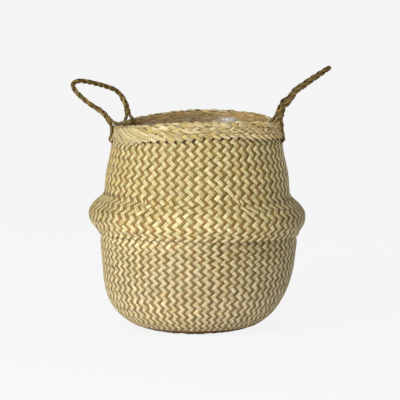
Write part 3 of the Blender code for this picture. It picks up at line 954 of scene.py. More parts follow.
def strip_look(look, height, degrees, inside):
    """A strip's look with painted shadow under the fold, painted light and shade by its place, and greyer low down.
    """
    dark, tone, hue = look
    # Painted shadow cast by the belly on the bowl below the fold
    if not inside and CREASE_HEIGHT - SHADE_DEPTH < height < CREASE_HEIGHT:
        shade = math.exp(-((degrees - SHADE_DEG) / SHADE_WIDTH_DEG) ** 2) * SHADE
        shade *= 1 - (CREASE_HEIGHT - height) / SHADE_DEPTH
        tone, hue = tone * (1 - shade), min(hue + shade, 1.0)
    low = min(max((GREY_HEIGHTS[1] - height) / (GREY_HEIGHTS[1] - GREY_HEIGHTS[0]), 0.0), 1.0)
    return dark, tone * painted_straw_light(height, degrees, dark == 1), hue * 0.5 + 0.5 * low


def spot_distance(height, degrees, spot_degrees, spot_height):
    aside = math.radians(degrees - spot_degrees) * BELLY_RADIUS
    return math.hypot(aside, height - spot_height)


def lay_body(rng, looks, upper, inside):
    """Every strip of the upper or the lower body, in the piece that its middle lies on."""
    lays = {name: Lay() for name in BODY_ENDS if (name == "upper_wall") == upper}
    bottom = BODY.run_at_radius(WEAVE_START_RADIUS)
    columns = UPPER_COLUMNS if upper else LOWER_COLUMNS
    found = set()
    for way, x, y, dx, width, look, strip_id in weave_floats(rng, looks, columns, ROW_NUMBERS, inside):
        run = float(run_of(y))
        height, degrees = height_and_degrees(-x if inside else x, y, upper)
        if run < bottom or run > BODY.length - WEAVE_END_RUN:
            continue
        above = height - float(edge_rise(math.radians(degrees - 90.0)))
        if not inside and (above > WEAVE_TOP or above > DARK_TOP and look[0] == 1):
            continue
        name = next((name for name, end in BODY_ENDS.items() if run < end), "upper_wall")
        if name not in lays:
            continue
        loose = 1.0 if height > WAIST_HEIGHT else LOW_LOOSENESS
        if not inside and spot_distance(height, degrees, LOOSE_DEG, LOOSE_HEIGHT) < LOOSE_REACH:
            loose = LOOSENESS
        look = strip_look(look, height, degrees, inside)
        direction = tilted(rng, dx, 1.0, TILT_WOBBLE_DEG * loose)
        half_width = STRIP_FILL * rng.uniform(1 - NARROWER * loose, WIDEST) * width
        shift_x, shift_y = rng.gauss(0, SHIFT_WOBBLE * loose), rng.gauss(0, SHIFT_WOBBLE * loose)
        lift = rng.gauss(0, LIFT_WOBBLE)
        half_length = math.sqrt(2) * rng.uniform(*FLOAT_LENGTH_RANGE)
        if not inside and look[0] == 1 and above > DARK_TOP - DARK_FLOAT_PITCH:
            shorter = DARK_SHORTER if degrees > PALE_UNTIL_DEG else DARK_SHORTER_LEFT
            half_length *= 1 - shorter
            shift_x -= shorter * dx
            shift_y -= shorter
        if not inside and way == "A" and look[0] == 0:
            for spot in LONG_FLOATS:
                if spot not in found and spot_distance(height, degrees, *spot[:2]) <= LONG_FLOAT_REACH:
                    found.add(spot)
                    lift += LONG_FLOAT_LIFT
                    half_length *= spot[2]
        lays[name].add(x + shift_x, y + shift_y, *direction, half_length, half_width, lift, look, strip_id)
    return lays


def lay_disc(rng, looks, inside):
    """The square plait of the bottom."""
    lay = Lay()
    reach = math.ceil(DISC_RADIUS / DISC_CROSSING / CROSSINGS) + 1
    middle = LOWER_COLUMNS * CROSSINGS / 2
    floats = weave_floats(rng, looks, LOWER_COLUMNS, range(-reach, reach), inside)
    for _, x, y, dx, width, look, strip_id in floats:
        x = (abs(x) - middle) * (1 if x > 0 else -1)
        if math.hypot(x, y) * DISC_CROSSING > DISC_RADIUS:
            continue
        direction = tilted(rng, dx, 1.0, DISC_TILT_WOBBLE_DEG)
        lay.add(x, y, *direction, math.sqrt(2), STRIP_FILL * width, 0.0, look, strip_id)
    return lay


def turned_core(name, outline, tones, material, segments=120):
    """The middle of the plait: a thin closed shell, spun from its outline, with a tone for each point, dark where it
    stands in as painted shade between the strips.
    """
    count = len(outline)
    edges = [(k, (k + 1) % count) for k in range(count)]
    piece = new_piece(name, [(r, 0.0, z) for r, z in outline], [], material, edges)
    mesh = piece.data
    bpy.ops.object.mode_set(mode="EDIT")
    bpy.ops.mesh.select_all(action="SELECT")
    bpy.ops.mesh.spin(steps=segments, angle=2 * math.pi, center=(0, 0, 0), axis=(0, 0, 1))
    bpy.ops.mesh.select_all(action="SELECT")
    bpy.ops.mesh.remove_doubles(threshold=0.00002)
    face_outwards()
    bpy.ops.object.mode_set(mode="OBJECT")
    mesh.shade_smooth()
    corners = np.array(outline)
    looks = []
    for vertex in mesh.vertices:
        radius = math.hypot(vertex.co.x, vertex.co.y)
        nearest = np.argmin(np.hypot(corners[:, 0] - radius, corners[:, 1] - vertex.co.z))
        looks.append((1.0, tones[nearest], CORE_HUE))
        turn = math.atan2(vertex.co.y, vertex.co.x)
        radius, height = settled(turn, radius, vertex.co.z)
        vertex.co = (radius * math.cos(turn), radius * math.sin(turn), height)
    give_looks(mesh, np.array(looks))
    return piece


def core_outline(start, end):
    """The middle of the plait along a run of the wall: its outer face and then its inner one, with their tones."""
    runs = np.linspace(start, end, max(3, round((end - start) / CORE_STEP)))
    kept = np.clip(runs, start + 0.00001, None)
    outer, inner = (np.stack(BODY.at(runs, fold_push(kept) - depth), axis=1) for depth in (CORE_OUTER, CORE_INNER))
    tones = list(np.interp(outer[:, 1], CORE_FLOOR_HEIGHTS, (CORE_FLOOR_TONE, CORE_SHADE_TONE)))
    return [tuple(p) for p in outer] + [tuple(p) for p in inner[::-1]], tones + [CORE_INNER_TONE] * len(inner)


def make_body(material):
    rng = random.Random(SEED)
    looks = strip_looks(rng, LOWER_COLUMNS)
    upper_looks = strip_looks(rng, UPPER_COLUMNS)
    outer = lay_body(rng, looks, False, inside=False) | lay_body(rng, upper_looks, True, inside=False)
    inner = lay_body(rng, looks, False, inside=True) | lay_body(rng, upper_looks, True, inside=True)
    start = BODY.run_at_radius(WEAVE_START_RADIUS * CORE_START_SHARE)
    pieces = {}
    for name, end in BODY_ENDS.items():
        upper = name == "upper_wall"
        side = {"lower_wall": -1, "belly_flare": 1}.get(name, 0)
        parts = [
            outer[name].mesh(f"{name}_outside", OUTER_STRIP, body_surface(upper, False, side), material),
            inner[name].mesh(f"{name}_inside", INNER_STRIP, body_surface(upper, True, side), material),
        ]
        outline, tones = core_outline(start, end)
        if name == "base":
            parts.append(lay_disc(rng, looks, False).mesh("disc_under", OUTER_STRIP, disc_surface(), material))
            parts.append(lay_disc(rng, looks, True).mesh("disc_over", INNER_STRIP, disc_surface(True), material))
            outline = [(CORE_MIDDLE_RADIUS, CORE_OUTER)] + outline + [(CORE_MIDDLE_RADIUS, CORE_INNER)]
            tones = [CORE_SHADE_TONE] + tones + [CORE_INNER_TONE]
        parts.append(turned_core(f"{name}_core", outline, tones, material))
        piece = joined(f"plaited_{name}", parts)
        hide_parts(name)
        pieces[name] = piece
        start = end
    for name in ("base", "lower_wall", "belly_flare"):
        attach(pieces[name], "lower")
    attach(pieces["upper_wall"], "upper")
    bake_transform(pieces["belly_shoulder"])


# ---- The border


def band_arc(skin=0.0):
    """The band's rounded top, from outside to inside, at a depth under its face."""
    half = BAND_HALF - skin
    for step in range(BAND_ARC_STEPS + 1):
        turn = math.pi * step / BAND_ARC_STEPS
        yield BAND_MIDDLE + half * math.cos(turn), RIM_HEIGHT - BAND_HALF + half * math.sin(turn)


def band_meridian():
    base = RIM_HEIGHT - BAND_HALF
    line = [
        (BAND_OUTER, RIM_HEIGHT - BAND_DEPTH - 2 * SCALLOP_DEPTH), (BAND_OUTER, RIM_HEIGHT - BAND_DEPTH),
        (BAND_OUTER, base), *list(band_arc())[1:-1], (BAND_INNER, base),
        (BAND_INNER, RIM_HEIGHT - BAND_INNER_DEPTH - LINING_RUN),
    ]
    return Meridian(line)


def make_border(material):
    """Strips turned down over the edge: long slats below, folded back on themselves above."""
    rng = random.Random(SEED + 1)
    band = band_meridian()
    pitch = 2 * math.pi * BAND_MIDDLE / UPPER_COLUMNS

    def surface(x, y, lift):
        r, z = band.at(y, lift + BORDER_LIFT)
        turn = x / BAND_MIDDLE + math.radians(WEAVE_TURN_DEG)
        above_edge = mouth_share(z)
        r, z = settled(turn, r, z)
        return r * np.cos(turn), r * np.sin(turn), z + (1 - above_edge) * edge_rise(turn)

    def degrees_at(x):
        return from_front(math.degrees(x / BAND_MIDDLE) + WEAVE_TURN_DEG)

    def straw(x, darkest, tone):
        degrees = degrees_at(x)
        tone *= np.interp(degrees, BORDER_DEGREES, BORDER_TONES)
        hue = rng.uniform(0.2, 0.5) if degrees < PALE_UNTIL_DEG else rng.random()
        darker = BORDER_DARKER * np.interp(degrees, BORDER_DARKER_DEGREES, (0.0, 1.0, 1.0, 0.0))
        return rng.uniform(0.0, darkest) + darker, rng.gauss(tone, BORDER_TONE_WOBBLE), hue

    slope = math.radians(SLAT_SLOPE_DEG)
    slats = Lay()
    for number in range(2 * UPPER_COLUMNS):
        x = (number / 2 + SLAT_START + rng.gauss(0, 0.035)) * pitch
        low = SLAT_LOW + rng.gauss(0, 0.0006) + SLAT_STAGGER * (number % 2)
        half_length = (SLAT_HIGH - low) / 2 / math.sin(slope)
        direction = tilted(rng, math.cos(slope), -math.sin(slope), 1.5)
        middle = x - half_length * math.cos(slope)
        half_width = SLAT_HALF_WIDTH * rng.uniform(0.9, 1.06)
        lift = rng.gauss(SLAT_LIFT - SLAT_UNDER * (number % 2), 0.0001)
        folded = eased(degrees_at(middle), PALE_UNTIL_DEG - PALE_FADE_DEG, PALE_UNTIL_DEG)
        look = straw(middle, 0.1 + 0.3 * folded, 1.06 - 0.10 * folded)
        slats.add(
            middle, (SLAT_HIGH + low) / 2, *direction, half_length, half_width, lift, look,
            rng.randrange(STRAW_SORTS), roll=SLAT_ROLL,
        )
    folds = Lay()
    teeth = Lay()
    for column in range(UPPER_COLUMNS):
        for course, (up, lean_deg, half_length, half_width, lift, puff) in enumerate(FOLD_COURSES):
            tooth = course == 0
            place_wobble, up_wobble, lean_wobble = TOOTH_WOBBLES if tooth else FOLD_WOBBLES
            x = (column + FOLD_PHASES[course] + rng.gauss(0, place_wobble)) * pitch
            degrees = degrees_at(x)
            if 0 < course < TOP_COURSE and any(start < degrees < end for start, end in PLAIN_DEG):
                continue
            narrow = 1.0
            if not tooth and any(start < degrees < end for start, end in NARROW_DEG):
                narrow = NARROW if course < TOP_COURSE - 1 else NARROW_TOP
            lean = math.radians(lean_deg + rng.gauss(0, lean_wobble))
            (teeth if tooth else folds).add(
                x, up + rng.gauss(0, up_wobble), math.cos(lean), math.sin(lean),
                half_length * rng.uniform(*FOLD_LENGTH_RANGE) * narrow,
                half_width * rng.uniform(*FOLD_WIDTH_RANGE) * narrow,
                lift + rng.gauss(0, 0.00015), straw(x, 0.25, FOLD_TONES[course]), rng.randrange(STRAW_SORTS),
                roll=rng.gauss(0, 0.0002), puff=puff * rng.uniform(*FOLD_PUFF_RANGE) * narrow,
            )
    lining = Lay()
    for column in range(2 * UPPER_COLUMNS):
        for up in LINING_ROWS:
            x = (column / 2 + rng.gauss(0, 0.15)) * pitch
            row_tone = np.interp(up, (LINING_ROWS[0], LINING_ROWS[-1]), LINING_ROW_TONES)
            tone = np.interp(degrees_at(x), LINING_DEGREES, LINING_TONES) * row_tone
            look = (rng.uniform(*LINING_DARK_RANGE), rng.gauss(tone, 0.05), rng.random())
            lining.add(
                x, up + rng.gauss(0, 0.0006), *tilted(rng, 1.0, LINING_SLOPE, 6.0), LINING_HALF_LENGTH,
                LINING_HALF_WIDTH, rng.gauss(0.0, 0.0001), look, rng.randrange(STRAW_SORTS),
            )
    parts = [
        lay.mesh(f"border_{name}", pattern, surface, material, STRIP_UV_SCALE)
        for name, lay, pattern in (
            ("slats", slats, BORDER_SLAT), ("folds", folds, BORDER_FOLD),
            ("teeth", teeth, BORDER_TOOTH), ("lining", lining, BORDER_FOLD),
        )
    ]
    low = RIM_HEIGHT - BAND_DEPTH + SHELL_START
    ceiling = RIM_HEIGHT - BAND_CROWN + SEAT_GAP
    lining_end = RIM_HEIGHT - BAND_INNER_DEPTH
    shell = [(BAND_OUTER - SHELL_SKIN, low), *band_arc(SHELL_SKIN)]
    shell += [
        (BAND_INNER + SHELL_SKIN, lining_end), (GROOVE_INNER, lining_end), (GROOVE_INNER, ceiling),
        (GROOVE_OUTER, ceiling), (GROOVE_OUTER, low),
    ]
    # Painted shade: the outer face below the crown is dark where it shows between the teeth
    tones = [CORE_SHADE_TONE if r > BAND_MIDDLE and z < RIM_HEIGHT - BAND_CROWN else SHELL_TONE for r, z in shell]
    piece = joined("plaited_rim_band", parts + [turned_core("border_core", shell, tones, material)])
    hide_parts("rim_band")
    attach(piece, "upper")


# ---- Ropes


class Handle:
    """Where one rope handle is tied: its roots on the rim, its eyes, and the line between them."""

    def __init__(self, name, roots_deg, leans_deg, reach, rise, loop_shares, tone):
        self.name = name
        self.roots = []
        for degrees in roots_deg:
            turn = math.radians(degrees)
            height = RIM_HEIGHT - BAND_HALF
            self.roots.append(Vector((BAND_MIDDLE * math.cos(turn), BAND_MIDDLE * math.sin(turn), height)))
        self.chord = (self.roots[1] - self.roots[0]).normalized()
        self.outward = Vector((self.chord.y, -self.chord.x, 0.0))
        if self.outward.dot(self.roots[0]) < 0:
            self.outward.negate()
        self.leans = [math.radians(degrees) for degrees in leans_deg]
        self.eyes = [root + EYE_HEIGHT * self.lean_direction(lean) for root, lean in zip(self.roots, self.leans)]
        self.axis = (self.eyes[1] - self.eyes[0]).normalized()
        self.reach = reach
        self.rise = rise
        self.loop_shares = loop_shares
        self.tone = tone
        skew = self.outward.angle(Vector((self.roots[0].x, self.roots[0].y, 0.0)))
        self.leg = (BAND_HALF + GAP + STRAND_RADIUS) / math.cos(skew)

    def lean_direction(self, lean):
        return self.outward * math.sin(lean) + Vector((0, 0, math.cos(lean)))


def arc(centre, radius, start, end, steps):
    points = []
    for step in range(steps + 1):
        angle = start + (end - start) * step / steps
        points.append((centre[0] + radius * math.cos(angle), centre[1] + radius * math.sin(angle)))
    return points


def eye_outline(leg, lean):
    """The eye's route as (out, up) offsets from its root: round under the band, up, and out to a tip."""
    drop = BAND_DEPTH + SCALLOP_DEPTH - BAND_HALF
    lean_angle = math.pi / 2 - lean
    tip_centre = (EYE_HEIGHT * math.cos(lean_angle), EYE_HEIGHT * math.sin(lean_angle))
    spread = math.acos((leg - EYE_TIP_RADIUS) / EYE_HEIGHT)
    under_steps, front_steps, tip_steps, back_steps = EYE_ARC_STEPS
    outline = []
    for out, up in arc((0.0, -drop), leg, -math.pi, 0.0, under_steps):
        depth = (up + drop) / leg
        outline.append((out * (1 - EYE_TUCK * depth * depth), -drop + depth * leg * EYE_SHORTER))
    leaves = lean_angle - spread
    if leaves > 0:
        outline += arc((0.0, 0.0), leg, 0.0, leaves, front_steps)
    else:
        outline.append((leg, -leg * math.tan(-leaves)))
    outline += arc(tip_centre, EYE_TIP_RADIUS, leaves, lean_angle + spread, tip_steps)
    outline += arc((0.0, 0.0), leg, lean_angle + spread, math.pi, back_steps)
    return outline


def squared_to_axis(handle, place, tip, lean_direction):
    """A place on an eye, moved along the rim so that the eye's tip lies square to the handle's axis."""
    root = tip - EYE_HEIGHT * lean_direction
    above_leg = ((place - root).dot(lean_direction) - handle.leg) / (EYE_HEIGHT - handle.leg)
    share = min(max(above_leg, 0.0), 1.0)
    off_square = (place - tip).dot(handle.axis) / handle.chord.dot(handle.axis)
    return place - share * off_square * handle.chord


def evenly(points, step, closed=False):
    """Evenly spaced points along a run of points."""
    run = np.array([list(p) for p in points])
    if closed:
        run = np.vstack([run, run[:1]])
    lengths = np.concatenate([[0.0], np.cumsum(np.linalg.norm(np.diff(run, axis=0), axis=1))])
    count = round(lengths[-1] / step)
    wanted = np.linspace(0.0, lengths[-1], count + 1)
    spaced = np.stack([np.interp(wanted, lengths, run[:, k]) for k in range(3)], axis=1)
    return spaced[:-1] if closed else spaced


def handle_route(handle, step):
    """The middle of the laid rope, from eye to eye."""
    span = (handle.eyes[1] - handle.eyes[0]).length
    out = (handle.outward - handle.axis * handle.outward.dot(handle.axis)).normalized()
    up = handle.axis.cross(out)
    if up.z < 0:
        up.negate()
    knots = [handle.eyes[0]]
    for along_share, out_share, up_share in handle.loop_shares:
        knots.append(
            handle.eyes[0] + along_share * span * handle.axis
            + out_share * handle.reach * out + up_share * handle.rise * up
        )
    knots.append(handle.eyes[1])
    knots[0] = knots[0] + STRAND_RADIUS * (knots[0] - knots[1]).normalized()
    knots[-1] = knots[-1] + STRAND_RADIUS * (knots[-1] - knots[-2]).normalized()
    route = evenly(smooth_run(knots, 20), step)
    if handle.name == "left_handle":
        low, high = LEFT_SETTLE_HEIGHTS
        route[:, 2] -= LEFT_SETTLE * np.clip((route[:, 2] - low) / (high - low), 0.0, 1.0)
    else:
        share = np.linspace(0.0, 1.0, len(route))
        middle = (handle.eyes[0].y + handle.eyes[1].y) / 2
        window = np.sin(np.pi * share) ** 0.5
        route[:, 2] -= RIGHT_SKEW * (route[:, 1] - middle) * window
        swell = np.exp(-((route[:, 2] - RIGHT_SWELL_HEIGHT) / RIGHT_SWELL_REACH) ** 2)
        route[:, 0] += RIGHT_SWELL * swell * window
        settle = Quaternion(up.cross(out), math.radians(RIGHT_SETTLE_DEG))
        route = np.array([handle.eyes[0] + settle @ (Vector(place) - handle.eyes[0]) for place in route])
    return route


def carried_frames(route, start_side, closed=False):
    """A side and an up direction at each point, carried along the route without twisting."""
    count = len(route)
    frames = []
    side = np.array(start_side, float)
    for index in range(count):
        before = route[(index - 1) % count] if closed else route[max(index - 1, 0)]
        after = route[(index + 1) % count] if closed else route[min(index + 1, count - 1)]
        along = (after - before) / np.linalg.norm(after - before)
        side = side - along * side.dot(along)
        side /= np.linalg.norm(side)
        frames.append((side.copy(), np.cross(along, side)))
    return frames


def tube_faces(levels, around, closed=False):
    """Faces between rings of points, one ring after the other."""
    faces = []
    for level in range(levels if closed else levels - 1):
        here = level * around
        ahead = (level + 1) % levels * around
        for step in range(around):
            beside = (step + 1) % around
            faces.append((here + step, here + beside, ahead + beside, ahead + step))
    return faces


def yarned_strand(name, route, start_side, sections, material, rng, tone, closed=False, yarns=YARNS):
    """A strand of twisted leaf: its section has a lobe for each yarn, turning as it runs.

    Each section is its inward direction, how far it reaches that way and the other way, and its half width.
    """
    frames = carried_frames(route, start_side, closed)
    count = len(route)
    steps = np.linalg.norm(np.diff(route, axis=0), axis=1)
    run = np.concatenate([[0.0], np.cumsum(steps)])
    total = run[-1] + (np.linalg.norm(route[0] - route[-1]) if closed else 0.0)
    turns = max(1, round(total / YARN_TURN)) if closed else total / YARN_TURN
    places, looks, uv = (np.zeros((count, RING, size)) for size in (3, 3, 2))
    tones = [tone * rng.gauss(1.0, YARN_TONE_WOBBLE) for _ in range(yarns)]
    hues = [rng.random() for _ in range(yarns)]
    darks = [rng.choice(YARN_DARKS) for _ in range(yarns)]
    waves = [(rng.uniform(*YARN_WAVE_RANGE), rng.uniform(0, 6.28)) for _ in range(yarns)]
    (slow, slow_rate), (quick, quick_rate) = YARN_SWELLS
    for index, (frame_here, section, place, at) in enumerate(zip(frames, sections, route, run)):
        along = np.cross(*frame_here)
        inward, reach, outer, half_width = section
        inward = inward - along * inward.dot(along)
        inward = inward / np.linalg.norm(inward)
        beside = np.cross(along, inward)
        twist = 2 * math.pi * turns * at / total
        from_end = min(at, total - at) / END_ROUNDING
        end = 1.0 if closed else math.sqrt(max(1 - (1 - min(from_end, 1.0)) ** 2, 0.02))
        swell = 1.0 + slow * math.sin(at * slow_rate + waves[0][1]) + quick * math.sin(at * quick_rate + waves[-1][1])
        for corner in range(RING):
            angle = 2 * math.pi * corner / RING
            turned = (angle + twist) / (2 * math.pi) * yarns
            yarn = math.floor(turned) % yarns
            lobe = abs(math.sin(math.pi * turned)) ** LOBE_CURVE
            size = end * swell * (LOBE_SIZE[0] + LOBE_SIZE[1] * lobe)
            inside = math.cos(angle)
            out = abs(inside) ** SQUARENESS * (reach if inside > 0 else -outer)
            wide = math.copysign(abs(math.sin(angle)) ** SQUARENESS, math.sin(angle)) * half_width
            places[index, corner] = place + size * (inward * out + beside * wide)
            rate, start = waves[yarn]
            wave = YARN_WAVE * tone * math.sin(at * rate + start)
            # Painted shade towards the groove, and a painted highlight on each lobe's crown
            groove = 1.0 - GROOVE_DARKENING * max(0.0, inside + GROOVE_REACH) / (1 + GROOVE_REACH)
            shade = LOBE_SHADE[0] + LOBE_SHADE[1] * lobe
            looks[index, corner] = (darks[yarn], (tones[yarn] + wave) * shade * groove, hues[yarn])
            uv[index, corner] = (turned * YARN_UV, at * STRIP_UV_SCALE)
    faces = tube_faces(count, RING, closed)
    if not closed:
        faces.append(tuple(range(RING))[::-1])
        faces.append(tuple((count - 1) * RING + corner for corner in range(RING)))
    piece = new_piece(name, places.reshape(-1, 3).tolist(), faces, material)
    give_looks(piece.data, looks, uv)
    bpy.ops.object.mode_set(mode="EDIT")
    face_outwards()
    bpy.ops.object.mode_set(mode="OBJECT")
    return piece


def root_leaves(handle, route, frames, end, material, rng):
    """Loose leaf ends that open out of the rope towards its eye."""
    leaves = []
    count = len(route)
    for leaf in range(LEAVES):
        angle = 2 * math.pi * (leaf + 0.5 * end) / LEAVES + rng.gauss(0, 0.25)
        points = []
        for step in range(LEAF_POINTS):
            share = step / (LEAF_POINTS - 1)
            back = LEAF_START + share * LEAF_LENGTH * rng.uniform(0.995, 1.0)
            index = min(round(back / ROPE_STEP), count - 1)
            index = index if end == 0 else count - 1 - index
            side, up = frames[index]
            turn = angle + share * LEAF_TURN
            spread = LEAF_SPREAD * (1 - LEAF_DRAWN_IN * share)
            points.append(route[index] + spread * (side * math.cos(turn) + up * math.sin(turn)))
        points = evenly(points, ROPE_STEP)
        sections = []
        for point in points:
            inward = route[np.argmin(np.linalg.norm(route - point, axis=1))] - point
            inward = inward / np.linalg.norm(inward)
            sections.append((inward, LEAF_HALF_THICKNESS, LEAF_HALF_THICKNESS, LEAF_HALF_WIDTH))
        name = f"leaf_{leaf}"
        leaves.append(yarned_strand(name, points, handle.axis, sections, material, rng, handle.tone, yarns=2))
    return leaves


def make_handle(handle, material, rng):
    """The two strands laid up together, apart where they fork round their eyes."""
    route = handle_route(handle, ROPE_STEP)
    length = ROPE_STEP * (len(route) - 1)
    frames = carried_frames(route, handle.axis)
    last_side, last_up = frames[-1]
    axis = np.array(handle.axis)
    fork = STRAND_RADIUS + FORK_LENGTH
    laid = length - 2 * fork
    drift = math.atan2(axis.dot(last_up), axis.dot(last_side))
    half_turns = round((2 * math.pi * laid / LAY_LENGTH - drift) / math.pi)
    twist = half_turns * math.pi + drift
    apart = 2 * STRAND_RADIUS + EYE_RUNNING_GAP
    closing, closed = FORK_LENGTH * STRAND_CLOSES[0], FORK_LENGTH + FORK_CLOSE * STRAND_CLOSES[1]
    for number in (0, 1):
        points = []
        sections = []
        for index, (place, (side, up)) in enumerate(zip(route, frames)):
            run = length * index / (len(route) - 1)
            angle = twist * min(max(run - fork, 0.0), laid) / laid + number * math.pi
            share = eased(min(run, length - run) - STRAND_RADIUS, closing, closed)
            offset = apart + (STRAND_APART - apart) * share
            out = side * math.cos(angle) + up * math.sin(angle)
            points.append(place + offset * out)
            sections.append((
                -out, STRAND_RADIUS + (offset - STRAND_RADIUS) * share,
                STRAND_RADIUS + share * (STRAND_OUTER - STRAND_RADIUS),
                STRAND_FORKED_WIDTH + share * (STRAND_HALF_WIDTH - STRAND_FORKED_WIDTH),
            ))
        name = f"{handle.name}_strand_{number + 1}"
        strand = yarned_strand(f"laid_{name}", np.array(points), handle.axis, sections, material, rng, handle.tone)
        leaves = root_leaves(handle, route, frames, number, material, rng)
        piece = joined(f"laid_{name}", [strand] + leaves)
        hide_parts(name)
        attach(piece, handle.name)


def drawn_eye(handle, root, lean, direction):
    """An eye's route as it is drawn in over the settled border, with its legs crossed at the neck."""
    tip = root + EYE_HEIGHT * direction
    route = []
    for out, up in eye_outline(handle.leg, lean):
        out *= EYE_TIGHTER if up < 0 < out else 1.0
        knot = root + out * handle.outward + Vector((0, 0, up))
        route.append(squared_to_axis(handle, knot, tip, direction))
    turn = math.atan2(root.y, root.x)
    half_turns = round(2 * (float(rim_sag(turn)) + EYE_HEIGHT - handle.leg) / LAY_LENGTH)
    drawn = []
    for point in evenly(route, ROPE_STEP / 2, closed=True):
        up = min(max((Vector(point) - root).dot(direction), 0.0), EYE_HEIGHT)
        centre = root + up * direction
        offset = Vector(point) - centre
        closing = eased(up, handle.leg * EYE_NECK_SHARES[0], handle.leg * EYE_NECK_SHARES[1])
        offset *= 1 - closing * max(1 - EYE_NECK / offset.length, 0.0)
        crossing = eased(up, handle.leg * EYE_CROSS_SHARES[0], EYE_HEIGHT * EYE_CROSS_SHARES[1])
        offset.rotate(Quaternion(direction, half_turns * math.pi * crossing))
        radius = math.hypot(root.x, root.y)
        inner, low = settled(turn, radius, point[2])
        moved = Vector((root.x, root.y, 0.0)) * (inner / radius - 1) + Vector((0, 0, low - point[2]))
        drawn.append(centre + offset + moved * (1 - up / EYE_HEIGHT))
    return evenly(drawn, ROPE_STEP, closed=True)


def make_eyes(handle, material, rng):
    for place, root, lean in zip(("front", "back"), handle.roots, handle.leans):
        direction = handle.lean_direction(lean)
        tip = root + EYE_HEIGHT * direction
        route = drawn_eye(handle, root, lean, direction)
        inner, low = settled(math.atan2(root.y, root.x), 1.0, root.z)
        low_root = Vector((root.x * inner, root.y * inner, low))
        height = (tip - low_root).length
        tip_direction = (tip - low_root).normalized()
        sections = []
        for point in route:
            up = min(max((Vector(point) - low_root).dot(tip_direction), 0.0), height)
            inward = np.array(low_root + up * tip_direction) - point
            if point[2] < low_root.z:
                inward[2] = 0.0
            slim = eased(up / height, EYE_TIP_STARTS, EYE_TIP_FULL)
            outer = EYE_OUTER + slim * (STRAND_RADIUS - EYE_OUTER)
            half_width = EYE_HALF_WIDTH + slim * (STRAND_RADIUS - EYE_HALF_WIDTH)
            sections.append((inward / np.linalg.norm(inward), STRAND_RADIUS, outer, half_width))
        name = f"{handle.name}_{place}_eye"
        piece = yarned_strand(f"tied_{name}", route, handle.axis, sections, material, rng, EYE_TONE, closed=True)
        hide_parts(name)
        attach(piece, "upper")


# ---- The film bag


def film_line():
    """The bag's outline: up the bowl, across the belly and up inside the neck."""
    inside = WALL + GAP
    runs = np.linspace(BODY.run_at_radius(FLOOR_RADIUS), CREASE_RUN * FILM_BOWL_SHARE, FILM_BOWL_LEVELS)
    bowl = np.stack(BODY.at(runs, fold_push(runs) - WALL - GAP - FILM), axis=1)
    line = [(0.001, inside), (FLOOR_RADIUS * 0.5, inside), (bowl[0][0], inside)] + [tuple(p) for p in bowl[1:]]
    waist = WAIST_RADIUS - WALL - FILM_WAIST_EASE
    hang = BAND_INNER - 2 * STRAND_RADIUS - 2 * GAP
    line.append((waist, WAIST_HEIGHT))
    for step in range(1, FILM_NECK_LEVELS + 1):
        share = step / FILM_NECK_LEVELS
        ease = min(1.0, share * FILM_DRAWN_IN)
        height = WAIST_HEIGHT + share * (RIM_HEIGHT - FILM_TOP_DROP - WAIST_HEIGHT)
        line.append((waist * (1 - ease) + hang * ease, height))
    return line


def film_glint(degrees, height):
    glint = 0.0
    for centre_degrees, centre, wide, high, strength in FILM_GLINTS:
        aside = (degrees - centre_degrees) / wide
        glint = max(glint, strength * math.exp(-aside * aside - ((height - centre) / high) ** 2))
    return glint


def make_film(material):
    """Thin clear bag: follows the bowl, crosses the belly and hangs creased inside the neck."""
    rng = random.Random(SEED + 3)
    line = film_line()
    folds = [
        (rng.randrange(*FILM_FOLD_RATES), rng.uniform(0, 6.28), rng.uniform(*FILM_FOLD_SIZES))
        for _ in range(FILM_FOLDS)
    ]
    weight = sum(size for _, _, size in folds)
    low, over = FILM_FOLD_HEIGHTS
    places = []
    glints = []
    for level, (radius, height) in enumerate(line):
        depth = FILM_FOLD_DEPTH * min(max((height - low) / over, 0.0), 1.0)
        for step in range(FILM_SEGMENTS):
            turn = 2 * math.pi * step / FILM_SEGMENTS
            drift = 0.8 * math.sin(height * 40 + 2 * turn)
            waves = (size * (0.5 + 0.5 * math.sin(rate * turn + start + drift)) for rate, start, size in folds)
            z = height
            if level == len(line) - 1:
                z -= FILM_EDGE_DROP * (0.5 + 0.5 * math.sin(9 * turn) * math.cos(4 * turn))
            r, z = settled(turn, radius - depth * (sum(waves) / weight), z)
            places.append((r * math.cos(turn), r * math.sin(turn), float(z)))
            glints.append(film_glint(math.degrees(turn), height))
    faces = tube_faces(len(line), FILM_SEGMENTS) + [tuple(range(FILM_SEGMENTS))[::-1]]
    piece = new_piece("film_bag", places, faces, material)
    piece.data.attributes.new("glint", "FLOAT", "POINT").data.foreach_set("value", glints)
    thick = piece.modifiers.new("film", "SOLIDIFY")
    thick.thickness = FILM_THICKNESS
    thick.offset = 0.0
    bpy.ops.object.modifier_apply(modifier=thick.name)
    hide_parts("liner")
    down = sum(math.dist(a, b) for a, b in zip(line, line[1:]))
    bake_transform(piece)


# ---- The setting


def camera_sees(tree, share, other, seen, target):
    """One shader for the light on the object, and another for what the camera sees of it."""
    mix = add_node(tree, "MixShader", {"Fac": share, 1: other, 2: seen})
    tree.links.new(mix.outputs["Shader"], target)


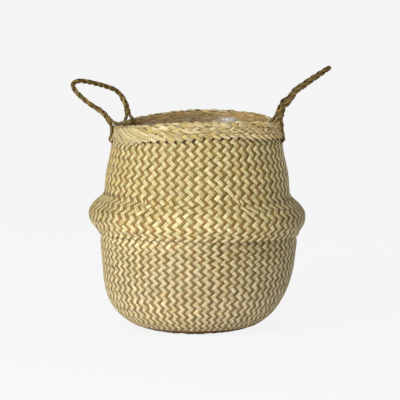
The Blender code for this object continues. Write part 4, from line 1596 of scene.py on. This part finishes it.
def make_setting():
    bpy.ops.object.select_all(action="DESELECT")
    bpy.ops.mesh.primitive_plane_add(size=FLOOR_SIZE, location=(0, 0, -FLOOR_DROP))
    floor = bpy.context.object
    floor.name = "floor"
    material, tree, shader = new_material("pale floor", 0.9, 0.1)
    shader.inputs["Base Color"].default_value = linear(*FLOOR_COLOUR)
    plain = add_node(tree, "Emission", {"Color": linear(*FLOOR_SEEN)}).outputs["Emission"]
    camera_ray = add_node(tree, "LightPath", {}).outputs["Is Camera Ray"]
    share = worked(tree, "MULTIPLY", camera_ray, FLOOR_PLAIN_SHARE)
    camera_sees(tree, share, shader.outputs["BSDF"], plain, tree.nodes["Material Output"].inputs["Surface"])
    floor.data.materials.append(material)

    world = bpy.data.worlds.new("studio")
    bpy.context.scene.world = world
    world.use_nodes = True
    tree = world.node_tree
    light = tree.nodes["Background"]
    light.inputs["Color"].default_value = (1.0, 1.0, 1.0, 1.0)
    light.inputs["Strength"].default_value = WORLD_STRENGTH
    seen = add_node(tree, "Background", {"Color": linear(*BACKDROP_SEEN)}).outputs["Background"]
    camera_ray = add_node(tree, "LightPath", {}).outputs["Is Camera Ray"]
    camera_sees(tree, camera_ray, light.outputs["Background"], seen, tree.nodes["World Output"].inputs["Surface"])


def aimed(name, data, place, target):
    """A lamp or a camera at a place, pointed at a target."""
    piece = bpy.data.objects.new(name, data)
    piece.location = place
    piece.rotation_euler = (Vector(target) - Vector(place)).to_track_quat("-Z", "Y").to_euler()
    bpy.context.collection.objects.link(piece)
    return piece


def add_lamp(name, place, target, size, power):
    data = bpy.data.lights.new(name, "AREA")
    data.shape = "DISK"
    data.size = size
    data.energy = power
    aimed(name, data, place, target)


def make_camera():
    data = bpy.data.cameras.new("camera")
    data.sensor_width = CAMERA_SENSOR
    data.lens = CAMERA_LENS
    data.clip_end = CAMERA_END
    bpy.context.scene.camera = aimed("camera", data, CAMERA_PLACE, CAMERA_TARGET)


def dress():
    make_body(plaited_material("plaited straw", LIGHT_STRAW, DARK_STRAW, 0.5, 0.24, 0.25, 0.70))
    make_border(plaited_material("border straw", LIGHT_BORDER_STRAW, DARK_BORDER_STRAW, 0.48, 0.34, 0.35, 0.72))
    rope = plaited_material("laid rope", LIGHT_ROPE, DARK_ROPE, 0.55, 0.4, 0.6)
    rng = random.Random(SEED + 2)
    for handle in (
        Handle(
            "left_handle", LEFT_ROOTS_DEG, LEFT_LEANS_DEG,
            LEFT_REACH, LEFT_RISE, LEFT_LOOP_SHARES, LEFT_ROPE_TONE,
        ),
        Handle(
            "right_handle", RIGHT_ROOTS_DEG, RIGHT_LEANS_DEG,
            RIGHT_REACH, RIGHT_RISE, RIGHT_LOOP_SHARES, RIGHT_ROPE_TONE,
        ),
    ):
        make_eyes(handle, rope, rng)
        make_handle(handle, rope, rng)
    make_film(film_material())
    make_setting()
    for name, lamp in LAMPS.items():
        add_lamp(name, *lamp)
    make_camera()
    bpy.context.scene.view_settings.view_transform = "Standard"


dress()
